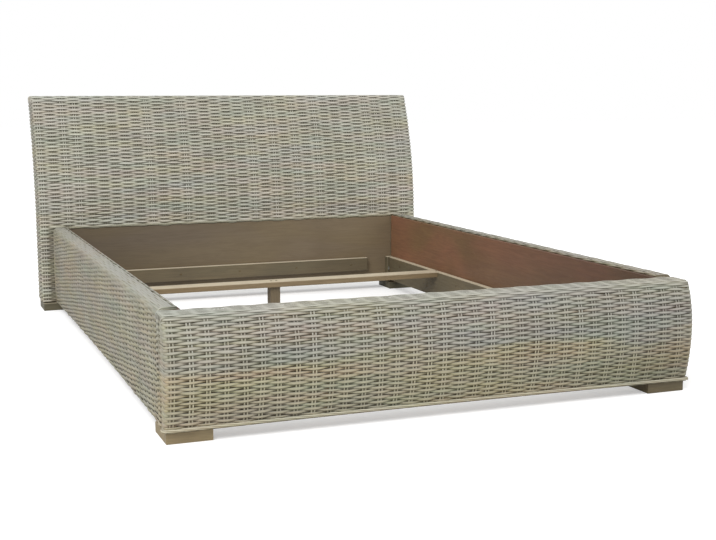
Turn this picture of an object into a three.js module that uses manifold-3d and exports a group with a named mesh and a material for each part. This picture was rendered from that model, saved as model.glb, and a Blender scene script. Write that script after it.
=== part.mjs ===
// Rattan bed: woven shells over sawn timber formers, a plain board box inside, block feet.
// Millimetres. X runs across the bed, +Y towards the head, +Z up.
// The origin is the middle of the bed's footprint, on the floor.

import * as THREE from 'three';
import { mergeVertices } from 'three/addons/utils/BufferGeometryUtils.js';
import Module from 'manifold-3d';

const wasm = await Module();
wasm.setup();

// Driving dimensions: the mattress and the box that holds it
const mattressWidth = 1400;
const mattressLength = 2000;
const mattressGap = 20;         // air beside the mattress, each side
const railTop = 335;            // top edge of the boards that hold the mattress in
const ledgerTop = 150;          // the slatted base rests at this height
const frameBottom = 45;         // lowest edge of the inner timber
const clearance = 0.3;          // air kept between pieces that meet

// Woven shells
const skin = 7;                 // rattan strands and their backing
const skirtHeight = 33;         // lower edge of the weave above the floor, at the corners
const shellLip = 8;             // strip of board edge left bare beside the weave
const railDepth = 62;           // well face of a side rail to its outer face
const railShoulder = 18;        // rounding along the rail's top outer edge
const railBelly = 3;            // swell of the rail's outer face at half height
const railBow = 9;              // rise of the rail's lower edge at mid length

// Footboard
const footDepth = 110;          // well face to the fullest point of the bulge
const footBulgeHeight = 200;    // height of the fullest point
const footTopDraw = 30;         // how far the top draws back from the bulge
const footBottomDraw = 28;      // how far the lower edge draws back from the bulge
const footOverhang = 6;         // footboard end beyond the rail's outer face
const footShoulder = 16;        // rounding along the top front edge
const footBow = 4;              // rise of the lower edge at mid width
const cornerRound = 9;          // rounding of the woven corners in plan
const braidSize = 9;            // thickness of the braided border
const braidPast = 4;            // braid beyond each end of the footboard

// Headboard
const headHeight = 877;
const headDepth = 130;
const headLean = 123;           // set-back of the top
const headWing = 56;            // headboard beyond the rail's outer face, each side
const headRound = 15;           // rounding along the top edges
const windowRecess = 4;         // head panel behind the face of the weave

// Boards, formers and battens
const boardThickness = 18;
const panelThickness = 15;
const formerThickness = 25;
const postThickness = 40;
const cornerFormerThickness = 40;
const headFormerPitch = 380;
const footFormerPitch = 360;
const ribWidth = 40;
const ribPitch = 680;
const boardArris = 1.5;         // easing of the edges of boards, ledgers, beams and legs
const battenDepth = 30;
const battenHeight = 40;
const railTimber = 40;          // thickness of the headboard's cross rails
const bottomRailHeight = 90;
const middleRailHeight = 60;
const upperRailHeight = 50;
const topRailHeight = 50;
const topRailDrop = 20;         // top rail below the inside of the weave
const upperRailPlace = 590;     // height of the upper rail's middle

// Mattress support
const ledgerThickness = 24;
const sideLedgerHeight = 103;
const endLedgerHeight = 57;
const endLedgerShort = 94;      // the end ledgers stop this far from the corner cleats
const cleatSize = 28;
const boltHeadRoom = 14;        // space between a cleat and the end of the side ledger
const beamWidth = 75;
const beamThickness = 21;
const beamFromHead = 480;       // head end of the well to the near edge of the head beam
const beamFromFoot = 480;
const legWidth = 40;
const legDepth = 45;
const glideRadius = 15;
const glideHeight = 6;

// Feet
const blockWidth = 123;
const blockDepth = 131;
const blockHeight = 30;
const blockArris = 2;
const footBlockInset = 6;       // front foot behind the footboard's end
const footBlockSetback = 6;     // front foot behind the footboard's lower edge
const headBlockInset = 6;       // head foot behind the headboard's end
const headBlockStep = 12;       // head foot in front of the headboard's face
const padInset = 22;            // raised pad inside the block's edges

// Bed bolts, one through each corner cleat into the headboard or footboard frame
const boltRadius = 5;
const boltHeadRadius = 8.5;
const boltHeadHeight = 6.5;
const boltFlats = 6;
const boltFlangeRadius = 11;
const boltFlangeThickness = 2.5;
const boltBite = 30;            // length of bolt inside the frame timber

// Working positions that follow from the sizes
const wellHalf = mattressWidth / 2 + mattressGap;
const wellLength = mattressLength + 2 * mattressGap;
const yFoot = -wellLength / 2;
const yHead = wellLength / 2;
const railOuter = wellHalf + railDepth;
const footHalf = railOuter + footOverhang;
const headHalf = railOuter + headWing;
const rise = headHeight - railTop;

const finish = (color, roughness, metalness = 0) =>
  new THREE.MeshStandardMaterial({ color, roughness, metalness, flatShading: true });
const materials = {
  weave: finish(0xa39e8a, 0.8),
  board: finish(0x6b4e3a, 0.55),
  panel: finish(0x6a5c49, 0.6),
  timber: finish(0x8f7c5f, 0.7),
  block: finish(0x7c6f4f, 0.6),
  steel: finish(0x9a9a96, 0.35, 1),
  glide: finish(0x24221f, 0.6),
};

// A closed geometry as a body that can be joined and cut
function body(geometry) {
  const bare = geometry.clone();
  bare.deleteAttribute('normal');
  bare.deleteAttribute('uv');
  const merged = mergeVertices(bare, 1e-4);
  return new wasm.Manifold(new wasm.Mesh({
    numProp: 3,
    vertProperties: new Float32Array(merged.attributes.position.array),
    triVerts: new Uint32Array(merged.index.array),
  }));
}

function cut(whole, parts) {
  return parts.reduce((rest, part) => rest.subtract(part), whole);
}

// Outline points are [a, b] or [a, b, radius], where a radius rounds that corner with an arc
function rounded(points, segments = 4) {
  return points.flatMap((point, i) => {
    const radius = point[2] ?? 0;
    const here = new THREE.Vector2(point[0], point[1]);
    if (radius <= 0) return [here];
    const before = points[(i + points.length - 1) % points.length];
    const after = points[(i + 1) % points.length];
    const back = new THREE.Vector2(before[0], before[1]).sub(here).normalize();
    const on = new THREE.Vector2(after[0], after[1]).sub(here).normalize();
    const half = Math.acos(THREE.MathUtils.clamp(back.dot(on), -1, 1)) / 2;
    const centre = back.clone().add(on).normalize().multiplyScalar(radius / Math.sin(half)).add(here);
    const start = here.clone().addScaledVector(back, radius / Math.tan(half)).sub(centre);
    const end = here.clone().addScaledVector(on, radius / Math.tan(half)).sub(centre);
    const turn = Math.atan2(start.cross(end), start.dot(end));
    return Array.from({ length: segments + 1 }, (_, k) =>
      start.clone().rotateAround(new THREE.Vector2(), (turn * k) / segments).add(centre));
  });
}

// A shape carried from one place to another along an axis, with its end edges rounded by `edge`
function extruded(points, low, high, basis, { edge = 0, bevels = 3, steps = 1, segments = 4 } = {}) {
  const shape = new THREE.Shape(rounded(points, segments));
  const geometry = new THREE.ExtrudeGeometry(shape, {
    depth: high - low - 2 * edge,
    steps,
    bevelEnabled: edge > 0,
    bevelThickness: edge,
    bevelSize: edge,
    bevelOffset: -edge,
    bevelSegments: bevels,
  });
  geometry.translate(0, 0, low + edge);
  geometry.applyMatrix4(basis);
  return geometry;
}

const axisX = new THREE.Vector3(1, 0, 0);
const axisY = new THREE.Vector3(0, 1, 0);
const axisZ = new THREE.Vector3(0, 0, 1);
const alongX = new THREE.Matrix4().makeBasis(axisY, axisZ, axisX);
const alongY = new THREE.Matrix4().makeBasis(axisZ, axisX, axisY);
const alongZ = new THREE.Matrix4();

// Outline of [y, z] points carried along X
const carryX = (points, x0, x1, options) => extruded(points, x0, x1, alongX, options);

// Outline of [x, z] points carried along Y
function carryY(points, y0, y1, options) {
  const swapped = points.map(([x, z, radius]) => [z, x, radius]);
  return extruded(swapped, y0, y1, alongY, options);
}

// Outline of [x, y] points carried along Z
const carryZ = (points, z0, z1, options) => extruded(points, z0, z1, alongZ, options);

function block(x0, x1, y0, y1, z0, z1) {
  const geometry = new THREE.BoxGeometry(Math.abs(x1 - x0), Math.abs(y1 - y0), Math.abs(z1 - z0));
  return geometry.translate((x0 + x1) / 2, (y0 + y1) / 2, (z0 + z1) / 2);
}

// A board with all its edges eased
function board(x0, x1, y0, y1, z0, z1) {
  const plan = [[x0, y0], [x1, y0], [x1, y1], [x0, y1]].map((corner) => [...corner, boardArris]);
  return carryZ(plan, z0, z1, { edge: boardArris, bevels: 1, segments: 1 });
}

// A bar from a point along an axis unit vector, round unless `sides` says otherwise
function bar(radius, length, from, direction, sides = 18) {
  const geometry = new THREE.CylinderGeometry(radius, radius, length, sides);
  geometry.translate(0, length / 2, 0);
  geometry.applyQuaternion(new THREE.Quaternion().setFromUnitVectors(axisY, direction));
  return geometry.translate(from.x, from.y, from.z);
}

// Lifts the lower edge by `lift` at mid span, falling to nothing at the ends and at the top
function bowed(geometry, axis, half, lift, top) {
  const place = geometry.attributes.position;
  for (let i = 0; i < place.count; i += 1) {
    const along = (axis === 'x' ? place.getX(i) : place.getY(i)) / half;
    const z = place.getZ(i);
    const share = THREE.MathUtils.clamp((top - z) / (top - skirtHeight), 0, 1);
    place.setZ(i, z + lift * Math.max(0, 1 - along * along) * share);
  }
  return geometry;
}

// Set-back of the headboard at a height: nothing up to the rails, then a parabola
function leanAt(z) {
  const up = Math.max(0, (z - railTop) / rise);
  return headLean * up * up;
}

// Depth of the footboard in front of the well at a height
function bulgeAt(z) {
  if (z > footBulgeHeight) {
    const up = (z - footBulgeHeight) / (railTop - footBulgeHeight);
    return footDepth - footTopDraw * up * up;
  }
  const down = (footBulgeHeight - z) / (footBulgeHeight - skirtHeight);
  return footDepth - footBottomDraw * down * down;
}

// Heights at which both curved profiles turn, shared by every outline so that nested ones stay parallel
const headTurns = 14;
const footTurns = 12;
const railTurns = 6;
const bowSteps = 12;            // divisions along an edge that bows
const headGrid = Array.from({ length: headTurns - 1 }, (_, i) => railTop + (rise * (i + 1)) / headTurns);
const footGrid = Array.from({ length: footTurns }, (_, i) =>
  railTop - ((railTop - skirtHeight) * (i + 1)) / footTurns);

// Side view of the headboard, `inset` inside its surface, as [y, z] points
function headOutline(inset, bottom) {
  const front = yHead + inset;
  const back = yHead + headDepth - inset;
  const top = headHeight - inset;
  const radius = Math.max(1, headRound - inset);
  const heights = headGrid.filter((z) => z < top - 2 * radius);
  return [
    [front, bottom],
    [front, railTop],
    ...heights.map((z) => [front + leanAt(z), z]),
    [front + leanAt(top), top, radius],
    [back + leanAt(top), top, radius],
    ...heights.reverse().map((z) => [back + leanAt(z), z]),
    [back, railTop],
    [back, bottom],
  ];
}

// Side view of the footboard, `inset` inside its surface, as [y, z] points
function footOutline(inset, bottom, back) {
  const top = railTop - inset;
  const radius = Math.max(1, footShoulder - inset);
  const heights = footGrid.filter((z) => z < top - radius && z > bottom);
  const front = (z) => yFoot - bulgeAt(z) + inset;
  return [
    [back, bottom],
    [back, top],
    [front(top), top, radius],
    ...heights.map((z) => [front(z), z]),
    [front(bottom), bottom],
  ];
}

const bed = new THREE.Group();

function add(name, shape, material) {
  const geometry = new THREE.BufferGeometry();
  if (shape.isBufferGeometry) {
    geometry.copy(shape);
  } else {
    const mesh = shape.getMesh();
    geometry.setAttribute('position', new THREE.BufferAttribute(mesh.vertProperties, 3));
    geometry.setIndex(new THREE.BufferAttribute(mesh.triVerts, 1));
  }
  geometry.computeVertexNormals();
  const mesh = new THREE.Mesh(geometry, material);
  mesh.name = name;
  bed.add(mesh);
}

const sides = [['left', -1], ['right', 1]];

// Bed bolts: one along the rail at mid height of each corner cleat
const cleatFaceHead = yHead + windowRecess - clearance;
const cleatFaceFoot = yFoot + clearance;
const cleatMiddle = wellHalf - clearance - cleatSize / 2;
const bolts = sides.flatMap(([side, sign]) => [
  { end: 'head', inward: -1, face: cleatFaceHead, wall: panelThickness },
  { end: 'foot', inward: 1, face: cleatFaceFoot, wall: boardThickness },
].map(({ end, inward, face, wall }) => ({
  name: `bed_bolt_${end}_${side}`,
  start: new THREE.Vector3(sign * cleatMiddle, face + inward * cleatSize, (frameBottom + ledgerTop) / 2),
  direction: new THREE.Vector3(0, -inward, 0),
  length: cleatSize + wall + 2 * clearance + boltBite,
})));
const boltHoles = bolts.map(({ start, direction, length }) => body(bar(
  boltRadius + clearance, length + 1 + clearance, start.clone().addScaledVector(direction, -1), direction)));
const drilled = (shape) => cut(shape, boltHoles);

// Headboard: woven shell, open below, with a window where the head panel closes the box
const headShell = cut(body(carryX(headOutline(0, skirtHeight), -headHalf, headHalf, { edge: cornerRound })), [
  body(carryX(headOutline(skin, 0), -headHalf + skin, headHalf - skin)),
  body(block(-wellHalf, wellHalf, yHead - skin, yHead + skin * 2, 0, railTop)),
]);
add('headboard_weave', headShell, materials.weave);

// Headboard frame: end posts and inner formers sawn to the same curve, tied by cross rails
const headInset = skin + clearance;
const panelBack = yHead + windowRecess + panelThickness;
const crossRails = [
  ['headboard_bottom_rail', frameBottom, bottomRailHeight],
  ['headboard_middle_rail', railTop - middleRailHeight / 2, middleRailHeight],
  ['headboard_upper_rail', upperRailPlace - upperRailHeight / 2, upperRailHeight],
  ['headboard_top_rail', headHeight - headInset - topRailDrop - topRailHeight, topRailHeight],
].map(([name, low, height]) => {
  const front = Math.max(panelBack + clearance, yHead + headInset + leanAt(low + height));
  return { name, low, high: low + height, front, back: front + railTimber };
});
const postInner = headHalf - headInset - postThickness;
for (const { name, low, high, front, back } of crossRails) {
  const timber = body(block(-postInner + clearance, postInner - clearance, front, back, low, high));
  add(name, drilled(timber), materials.timber);
}
const railNotches = crossRails.map(({ low, high, front, back }) => body(
  block(-postInner, postInner, front - headDepth, back + clearance, low - clearance, high + clearance)));
const panelNotch = body(block(
  -wellHalf, wellHalf, yHead - headDepth, panelBack + clearance, 0, railTop + clearance));
const headProfile = headOutline(headInset, frameBottom);
for (const [side, sign] of sides) {
  const low = sign > 0 ? postInner : -postInner - postThickness;
  add(`headboard_post_${side}`, carryX(headProfile, low, low + postThickness), materials.timber);
}
const headBays = Math.max(2, Math.round((2 * postInner) / headFormerPitch));
for (let i = 1; i < headBays; i += 1) {
  const middle = -postInner + (2 * postInner * i) / headBays;
  const blank = body(carryX(headProfile, middle - formerThickness / 2, middle + formerThickness / 2));
  add(`headboard_former_${i}`, cut(blank, [...railNotches, panelNotch]), materials.timber);
}

// Head panel, set just behind the face of the weave
const headPanel = body(board(-wellHalf + clearance, wellHalf - clearance,
  yHead + windowRecess, panelBack, frameBottom, railTop - clearance));
add('head_panel', drilled(headPanel), materials.panel);

// Footboard: woven shell, open below and behind
const footBody = body(bowed(
  carryX(footOutline(0, skirtHeight, yFoot), -footHalf, footHalf, { edge: cornerRound, steps: bowSteps }),
  'x', footHalf, footBow, railTop));
const footCavity = body(carryX(
  footOutline(skin, 0, yFoot + skin), -footHalf + skin, footHalf - skin));
const footBehind = body(block(-footHalf - skin, footHalf + skin, yFoot, yFoot + footDepth, 0, headHeight));
add('footboard_weave', cut(footBody, [footCavity, footBehind]), materials.weave);

// Footboard frame: inner board, formers sawn to the bulge, battens let into their backs
const footInside = footHalf - skin - clearance;
const footFrameTop = railTop - skin - clearance;
const footBoardFront = yFoot - boardThickness;
const footBoard = body(board(-footInside, footInside, footBoardFront, yFoot, frameBottom, footFrameTop));
add('footboard_board', drilled(footBoard), materials.board);
const battenBack = footBoardFront - clearance;
const battens = [
  ['footboard_bottom_batten', frameBottom, frameBottom + battenHeight],
  ['footboard_top_batten', footFrameTop - battenHeight, footFrameTop],
];
const battenEnd = cleatMiddle - cornerFormerThickness / 2 - clearance;
for (const [name, low, high] of battens) {
  add(name, block(-battenEnd, battenEnd, battenBack - battenDepth, battenBack, low, high), materials.timber);
}
const battenNotches = battens.map(([, low, high]) => body(block(-battenEnd - clearance / 2,
  battenEnd + clearance / 2, battenBack - battenDepth - clearance, yFoot, low - clearance, high + clearance)));
const footProfile = footOutline(skin + clearance, frameBottom, battenBack);
const endFormer = footInside - formerThickness / 2;
const footBays = Math.max(2, Math.round((2 * cleatMiddle) / footFormerPitch));
const innerFormers = Array.from({ length: footBays - 1 }, (_, i) =>
  -cleatMiddle + (2 * cleatMiddle * (i + 1)) / footBays);
const footFormers = [
  ...[-endFormer, endFormer].map((x) => ({ x, thickness: formerThickness })),
  ...[-cleatMiddle, cleatMiddle].map((x) => ({ x, thickness: cornerFormerThickness })),
  ...innerFormers.map((x) => ({ x, thickness: formerThickness })),
].sort((a, b) => a.x - b.x);
footFormers.forEach(({ x, thickness }, i) => {
  const blank = body(carryX(footProfile, x - thickness / 2, x + thickness / 2));
  add(`footboard_former_${i + 1}`, drilled(cut(blank, battenNotches)), materials.timber);
});

// Braided border lying against the weave along the footboard's lower front edge
const lastTurn = footGrid[footTurns - 2];
const lowerSlope = (bulgeAt(lastTurn) - bulgeAt(skirtHeight)) / (lastTurn - skirtHeight);
const lowerFaceAt = (z) => yFoot - bulgeAt(skirtHeight) - lowerSlope * (z - skirtHeight) - clearance;
const braidHigh = skirtHeight + braidSize;
const braidRound = braidSize * 0.45;
const braidOutline = [
  [lowerFaceAt(skirtHeight), skirtHeight],
  [lowerFaceAt(braidHigh), braidHigh],
  [lowerFaceAt(braidHigh) - braidSize, braidHigh, braidRound],
  [lowerFaceAt(skirtHeight) - braidSize, skirtHeight, braidRound],
];
add('footboard_braid', bowed(carryX(braidOutline, -footHalf - braidPast, footHalf + braidPast,
  { steps: bowSteps, segments: 2 }), 'x', footHalf, footBow, railTop), materials.weave);

// Side rails: inner board, ribs, woven shell over the top and outside
const ribOuter = railOuter - skin - clearance;
const ribCount = Math.max(2, Math.round(wellLength / ribPitch) + 1);
for (const [side, sign] of sides) {
  add(`side_rail_board_${side}`, board(sign * wellHalf, sign * (wellHalf + boardThickness),
    yFoot + clearance, yHead - clearance, frameBottom, railTop), materials.board);

  const shellTop = railTop + clearance;
  const bellyAt = (z) => {
    const middle = (shellTop + skirtHeight) / 2;
    const share = (z - middle) / (shellTop - middle);
    return railBelly * (1 - share * share);
  };
  const faceHeights = Array.from({ length: railTurns - 1 }, (_, i) =>
    shellTop - ((shellTop - skirtHeight) * (i + 1)) / railTurns);
  const shellOutline = [
    [wellHalf + shellLip, shellTop],
    [wellHalf + shellLip, shellTop + skin, skin / 3],
    [railOuter, shellTop + skin, railShoulder],
    ...faceHeights.map((z) => [railOuter + bellyAt(z), z]),
    [railOuter, skirtHeight],
    [railOuter - skin, skirtHeight],
    ...faceHeights.slice().reverse().map((z) => [railOuter - skin + bellyAt(z), z]),
    [railOuter - skin, shellTop, Math.max(1, railShoulder - skin)],
  ].map(([x, z, radius]) => [sign * x, z, radius]);
  add(`side_rail_weave_${side}`, bowed(
    carryY(shellOutline, yFoot + clearance, yHead - clearance, { steps: bowSteps }),
    'y', wellLength / 2, railBow, railTop), materials.weave);

  const ribTopRound = Math.max(1, railShoulder - skin);
  const ribOutline = [
    [sign * (wellHalf + boardThickness + clearance), frameBottom],
    [sign * (wellHalf + boardThickness + clearance), railTop],
    [sign * ribOuter, railTop, ribTopRound],
    [sign * ribOuter, frameBottom],
  ];
  for (let i = 0; i < ribCount; i += 1) {
    const low = yFoot + clearance + ((wellLength - 2 * clearance - ribWidth) * i) / (ribCount - 1);
    add(`side_rail_rib_${side}_${i + 1}`, carryY(ribOutline, low, low + ribWidth), materials.timber);
  }
}

// Ledgers, with housings for the cross beams
const beamPlaces = [
  ['foot', yFoot + beamFromFoot],
  ['head', yHead - beamFromHead - beamWidth],
];
const housings = beamPlaces.map(([, low]) => body(block(-wellHalf, wellHalf,
  low - clearance, low + beamWidth + clearance, ledgerTop - beamThickness - clearance, headHeight)));
const ledgerStart = cleatFaceFoot + cleatSize + boltHeadRoom;
const ledgerEnd = cleatFaceHead - cleatSize - boltHeadRoom;
for (const [side, sign] of sides) {
  const blank = body(board(sign * (wellHalf - clearance - ledgerThickness), sign * (wellHalf - clearance),
    ledgerStart, ledgerEnd, ledgerTop - sideLedgerHeight, ledgerTop));
  add(`ledger_${side}`, cut(blank, housings), materials.timber);
}
const endLedgerHalf = wellHalf - clearance - cleatSize - endLedgerShort;
const endLedgerLow = ledgerTop - endLedgerHeight;
add('ledger_head', board(-endLedgerHalf, endLedgerHalf, cleatFaceHead - ledgerThickness, cleatFaceHead,
  endLedgerLow, ledgerTop), materials.timber);
add('ledger_foot', board(-endLedgerHalf, endLedgerHalf, cleatFaceFoot, cleatFaceFoot + ledgerThickness,
  endLedgerLow, ledgerTop), materials.timber);

// Corner cleats
for (const [side, sign] of sides) {
  for (const [end, face, inward] of [['head', cleatFaceHead, -1], ['foot', cleatFaceFoot, 1]]) {
    const [low, high] = [face, face + inward * cleatSize].sort((a, b) => a - b);
    const cleat = body(board(sign * (wellHalf - clearance - cleatSize), sign * (wellHalf - clearance),
      low, high, frameBottom, ledgerTop));
    add(`corner_cleat_${end}_${side}`, drilled(cleat), materials.timber);
  }
}

// Cross beams with their centre legs and glides
const legTop = ledgerTop - beamThickness - clearance;
for (const [end, low] of beamPlaces) {
  add(`cross_beam_${end}`, board(-wellHalf + 2 * clearance, wellHalf - 2 * clearance,
    low, low + beamWidth, ledgerTop - beamThickness, ledgerTop), materials.timber);
  const middle = low + beamWidth / 2;
  add(`centre_leg_${end}`, board(-legWidth / 2, legWidth / 2, middle - legDepth / 2, middle + legDepth / 2,
    glideHeight + clearance, legTop), materials.timber);
  add(`leg_glide_${end}`, bar(glideRadius, glideHeight, new THREE.Vector3(0, middle, 0), axisZ),
    materials.glide);
}

// Block feet, each with a raised pad that carries the frame above it
function blockFoot(x0, x1, y0, y1) {
  const plan = [[x0, y0], [x1, y0], [x1, y1], [x0, y1]];
  const base = body(carryZ(plan, 0, blockHeight, { edge: blockArris }));
  const pad = body(block(x0 + padInset, x1 - padInset, y0 + padInset, y1 - padInset,
    blockHeight / 2, frameBottom - clearance));
  return base.add(pad);
}
const frontFootFace = yFoot - bulgeAt(skirtHeight) + footBlockSetback;
const headFootFace = yHead - headBlockStep;
for (const [side, sign] of sides) {
  const frontOuter = footHalf - footBlockInset;
  const frontX = sign > 0 ? [frontOuter - blockWidth, frontOuter] : [-frontOuter, blockWidth - frontOuter];
  add(`foot_front_${side}`, blockFoot(...frontX, frontFootFace, frontFootFace + blockDepth), materials.block);
  const headOuter = headHalf - headBlockInset;
  const headX = sign > 0 ? [headOuter - blockWidth, headOuter] : [-headOuter, blockWidth - headOuter];
  add(`foot_head_${side}`, blockFoot(...headX, headFootFace, headFootFace + blockDepth), materials.block);
}

// Bed bolts with their flanged heads
for (const { name, start, direction, length } of bolts) {
  const under = start.clone().addScaledVector(direction, -clearance);
  const flange = bar(boltFlangeRadius, boltFlangeThickness,
    under.clone().addScaledVector(direction, -boltFlangeThickness), direction);
  const crown = bar(boltHeadRadius, boltHeadHeight,
    under.clone().addScaledVector(direction, -boltHeadHeight), direction, boltFlats);
  const shaft = bar(boltRadius, length + boltFlangeThickness / 2,
    under.clone().addScaledVector(direction, -boltFlangeThickness / 2), direction);
  add(name, body(flange).add(body(crown)).add(body(shaft)), materials.steel);
}

// The origin goes to the middle of the footprint
const centre = new THREE.Box3().setFromObject(bed).getCenter(new THREE.Vector3());
bed.position.set(0, -centre.y, 0);

const rattanBed = new THREE.Group();
rattanBed.add(bed);

export default rattanBed;
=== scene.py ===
# Rattan bed: a grey-washed weave over a plain timber box on block feet. Metres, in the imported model's frame.
import bpy
import numpy as np
from mathutils import Matrix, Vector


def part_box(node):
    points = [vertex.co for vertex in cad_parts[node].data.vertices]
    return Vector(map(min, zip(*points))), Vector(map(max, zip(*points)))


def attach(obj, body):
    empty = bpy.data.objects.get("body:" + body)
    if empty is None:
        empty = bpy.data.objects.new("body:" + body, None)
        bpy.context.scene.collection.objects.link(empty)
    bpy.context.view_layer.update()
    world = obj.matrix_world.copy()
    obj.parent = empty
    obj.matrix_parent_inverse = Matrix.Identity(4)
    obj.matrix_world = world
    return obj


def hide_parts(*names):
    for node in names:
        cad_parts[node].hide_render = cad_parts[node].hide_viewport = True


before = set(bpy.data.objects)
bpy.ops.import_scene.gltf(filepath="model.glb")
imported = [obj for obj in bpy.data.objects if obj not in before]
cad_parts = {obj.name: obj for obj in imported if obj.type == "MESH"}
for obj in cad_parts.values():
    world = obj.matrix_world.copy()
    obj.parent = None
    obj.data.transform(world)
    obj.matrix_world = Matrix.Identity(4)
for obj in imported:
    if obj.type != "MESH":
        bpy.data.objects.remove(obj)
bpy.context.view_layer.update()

scatter = np.random.default_rng(11)

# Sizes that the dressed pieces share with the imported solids
footLow, footHigh = np.array(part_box("footboard_weave"))
headLow, headHigh = np.array(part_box("headboard_weave"))
railLow, railHigh = np.array(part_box("side_rail_weave_right"))
boardLow, boardHigh = np.array(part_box("side_rail_board_right"))
form = {
    "wellHalf": boardLow[0],
    "railTop": boardHigh[2],
    "skirt": footLow[2],
    "skin": 0.007,              # strands and stakes together
    "footBack": footHigh[1],
    "footHalf": footHigh[0],
    "footDepth": 0.110,
    "bulgeHeight": 0.200,
    "topDraw": 0.030,
    "bottomDraw": 0.028,
    "footShoulder": 0.016,
    "footBow": 0.004,
    "headFront": headLow[1],
    "headHalf": headHigh[0],
    "headTop": headHigh[2],
    "headDepth": 0.130,
    "headLean": 0.123,
    "headRound": 0.015,
    "cornerRound": 0.009,
    "railOuter": 0.782,
    "railShell": railLow[0],    # inner edge of the woven band on top of a side rail
    "railShellTop": railHigh[2],
    "railShoulder": 0.018,
    "railBelly": 0.003,
    "railBow": 0.009,
    "arcGap": 1e-4,             # a side view's points stop this far short of an arc
}
upward, sideways, forward = np.array([0.0, 0.0, 1.0]), np.array([1.0, 0.0, 0.0]), np.array([0.0, 1.0, 0.0])


# Each vector over its own length
def unit(vectors):
    return vectors / np.maximum(np.linalg.norm(vectors, axis=-1, keepdims=True), 1e-12)


# Points from three sets of places, each spread to the shape that they share
def pointsOf(x, y, z):
    return np.stack(np.broadcast_arrays(x, y, z), -1)


# Set-back of the headboard: the square of the height above the rails, as a share of the whole rise
def leanAt(z):
    rise = (z - form["railTop"]) / (form["headTop"] - form["railTop"])
    return form["headLean"] * np.clip(rise, 0, None) ** 2


# Depth of the footboard: full at the bulge, drawn back by a square law above it and below it
def bulgeAt(z):
    above = (z - form["bulgeHeight"]) / (form["railTop"] - form["bulgeHeight"])
    below = (form["bulgeHeight"] - z) / (form["bulgeHeight"] - form["skirt"])
    return form["footDepth"] - np.where(z > form["bulgeHeight"], form["topDraw"] * above**2,
                                        form["bottomDraw"] * below**2)


# A corner turned into an arc: it touches both legs at the radius over the tangent of half the corner
def arcAt(before, corner, after, radius, count=9):
    back, on = unit(before - corner), unit(after - corner)
    half = 0.5 * np.arccos(np.clip(back @ on, -1, 1))
    centre = corner + unit(back + on) * radius / np.sin(half)
    start = corner + back * radius / np.tan(half) - centre
    end = corner + on * radius / np.tan(half) - centre
    turn = np.arctan2(start[0] * end[1] - start[1] * end[0], start @ end)
    angles = np.linspace(0, turn, count)[:, None]
    return centre + np.cos(angles) * start + np.sin(angles) * np.array([-start[1], start[0]])


# A side view as a measured line: distance along it, its points, and the outward side of its direction
def profileOf(points):
    step = np.linalg.norm(np.diff(points, axis=0), axis=1)
    keep = np.concatenate([[True], step > 1e-7])
    points = points[keep]
    run = np.concatenate([[0], np.cumsum(np.linalg.norm(np.diff(points, axis=0), axis=1))])
    direction = unit(np.gradient(points, run, axis=0))
    return {"run": run, "points": points, "out": np.stack([-direction[:, 1], direction[:, 0]], 1)}


# Points and outward directions at distances along a side view, straight between its own points
def onProfile(profile, run):
    read = lambda values: np.interp(run, profile["run"], values)
    out = unit(np.stack([read(profile["out"][:, 0]), read(profile["out"][:, 1])], -1))
    return read(profile["points"][:, 0]), read(profile["points"][:, 1]), out[..., 0], out[..., 1]


# Headboard from the side: the set-back front, two rounded top corners, and the front again one depth behind
def headProfile():
    z = np.linspace(form["skirt"], form["headTop"], 90)
    front = np.stack([form["headFront"] + leanAt(z), z], 1)
    back = front[::-1] + [form["headDepth"], 0]
    frontArc = arcAt(front[-4], front[-1], back[0], form["headRound"])
    backArc = arcAt(front[-1], back[0], back[4], form["headRound"])
    return profileOf(np.concatenate([front[front[:, 1] < frontArc[0, 1] - form["arcGap"]], frontArc, backArc,
                                     back[back[:, 1] < backArc[-1, 1] - form["arcGap"]]]))


# Footboard from the side: the bulged front, a rounded shoulder and the flat top back to the inner board
def footProfile():
    z = np.linspace(form["skirt"], form["railTop"], 60)
    front = np.stack([form["footBack"] - bulgeAt(z), z], 1)
    end = np.array([form["footBack"], form["railTop"]])
    arc = arcAt(front[-4], front[-1], end, form["footShoulder"])
    return profileOf(np.concatenate([front[front[:, 1] < arc[0, 1] - form["arcGap"]], arc, [end]]))


# Side rail from the end: the flat top, a rounded shoulder, and a face whose belly is one less the square
# of the height from mid face
def railProfile():
    top = form["railShellTop"]
    inner = np.array([form["railShell"], top])
    corner = np.array([form["railOuter"], top])
    z = np.linspace(top - form["railShoulder"], form["skirt"], 24)
    middle = (form["railTop"] + form["skirt"]) / 2
    share = (z - middle) / (form["railTop"] - middle)
    face = np.stack([form["railOuter"] + form["railBelly"] * np.clip(1 - share**2, 0, None), z], 1)
    return profileOf(np.concatenate([[inner], arcAt(inner, corner, face[0], form["railShoulder"]), face]))


# Lower edges rise by the bow at mid span and fall to nothing at the ends and at the top
def bowed(points, axis, middle, half, lift):
    across = (points[..., axis] - middle) / half
    share = np.clip((form["railTop"] - points[..., 2]) / (form["railTop"] - form["skirt"]), 0, 1)
    out = points.copy()
    out[..., 2] += lift * np.clip(1 - across**2, 0, None) * share
    return out


# A line that runs straight, turns a quarter circle at each end and runs on inwards: its place and inward
# drop, and the sine and cosine of the turn of its outward direction
def endWrap(run, half, radius):
    side = np.sign(run)
    past = np.abs(run) - (half - radius)
    angle = np.clip(past / radius, 0, np.pi / 2)
    beyond = np.clip(past - radius * np.pi / 2, 0, None)
    place = np.where(past > 0, side * (half - radius + radius * np.sin(angle)), run)
    return place, radius * (1 - np.cos(angle)) + beyond, side * np.sin(angle), np.cos(angle)


# Points and outward directions over a side view, at places across the bed and distances along the view
def overProfile(profile, across, run):
    y, z, outY, outZ = onProfile(profile, run)
    return pointsOf(across, y, z), pointsOf(0 * across, outY, outZ)


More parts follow.
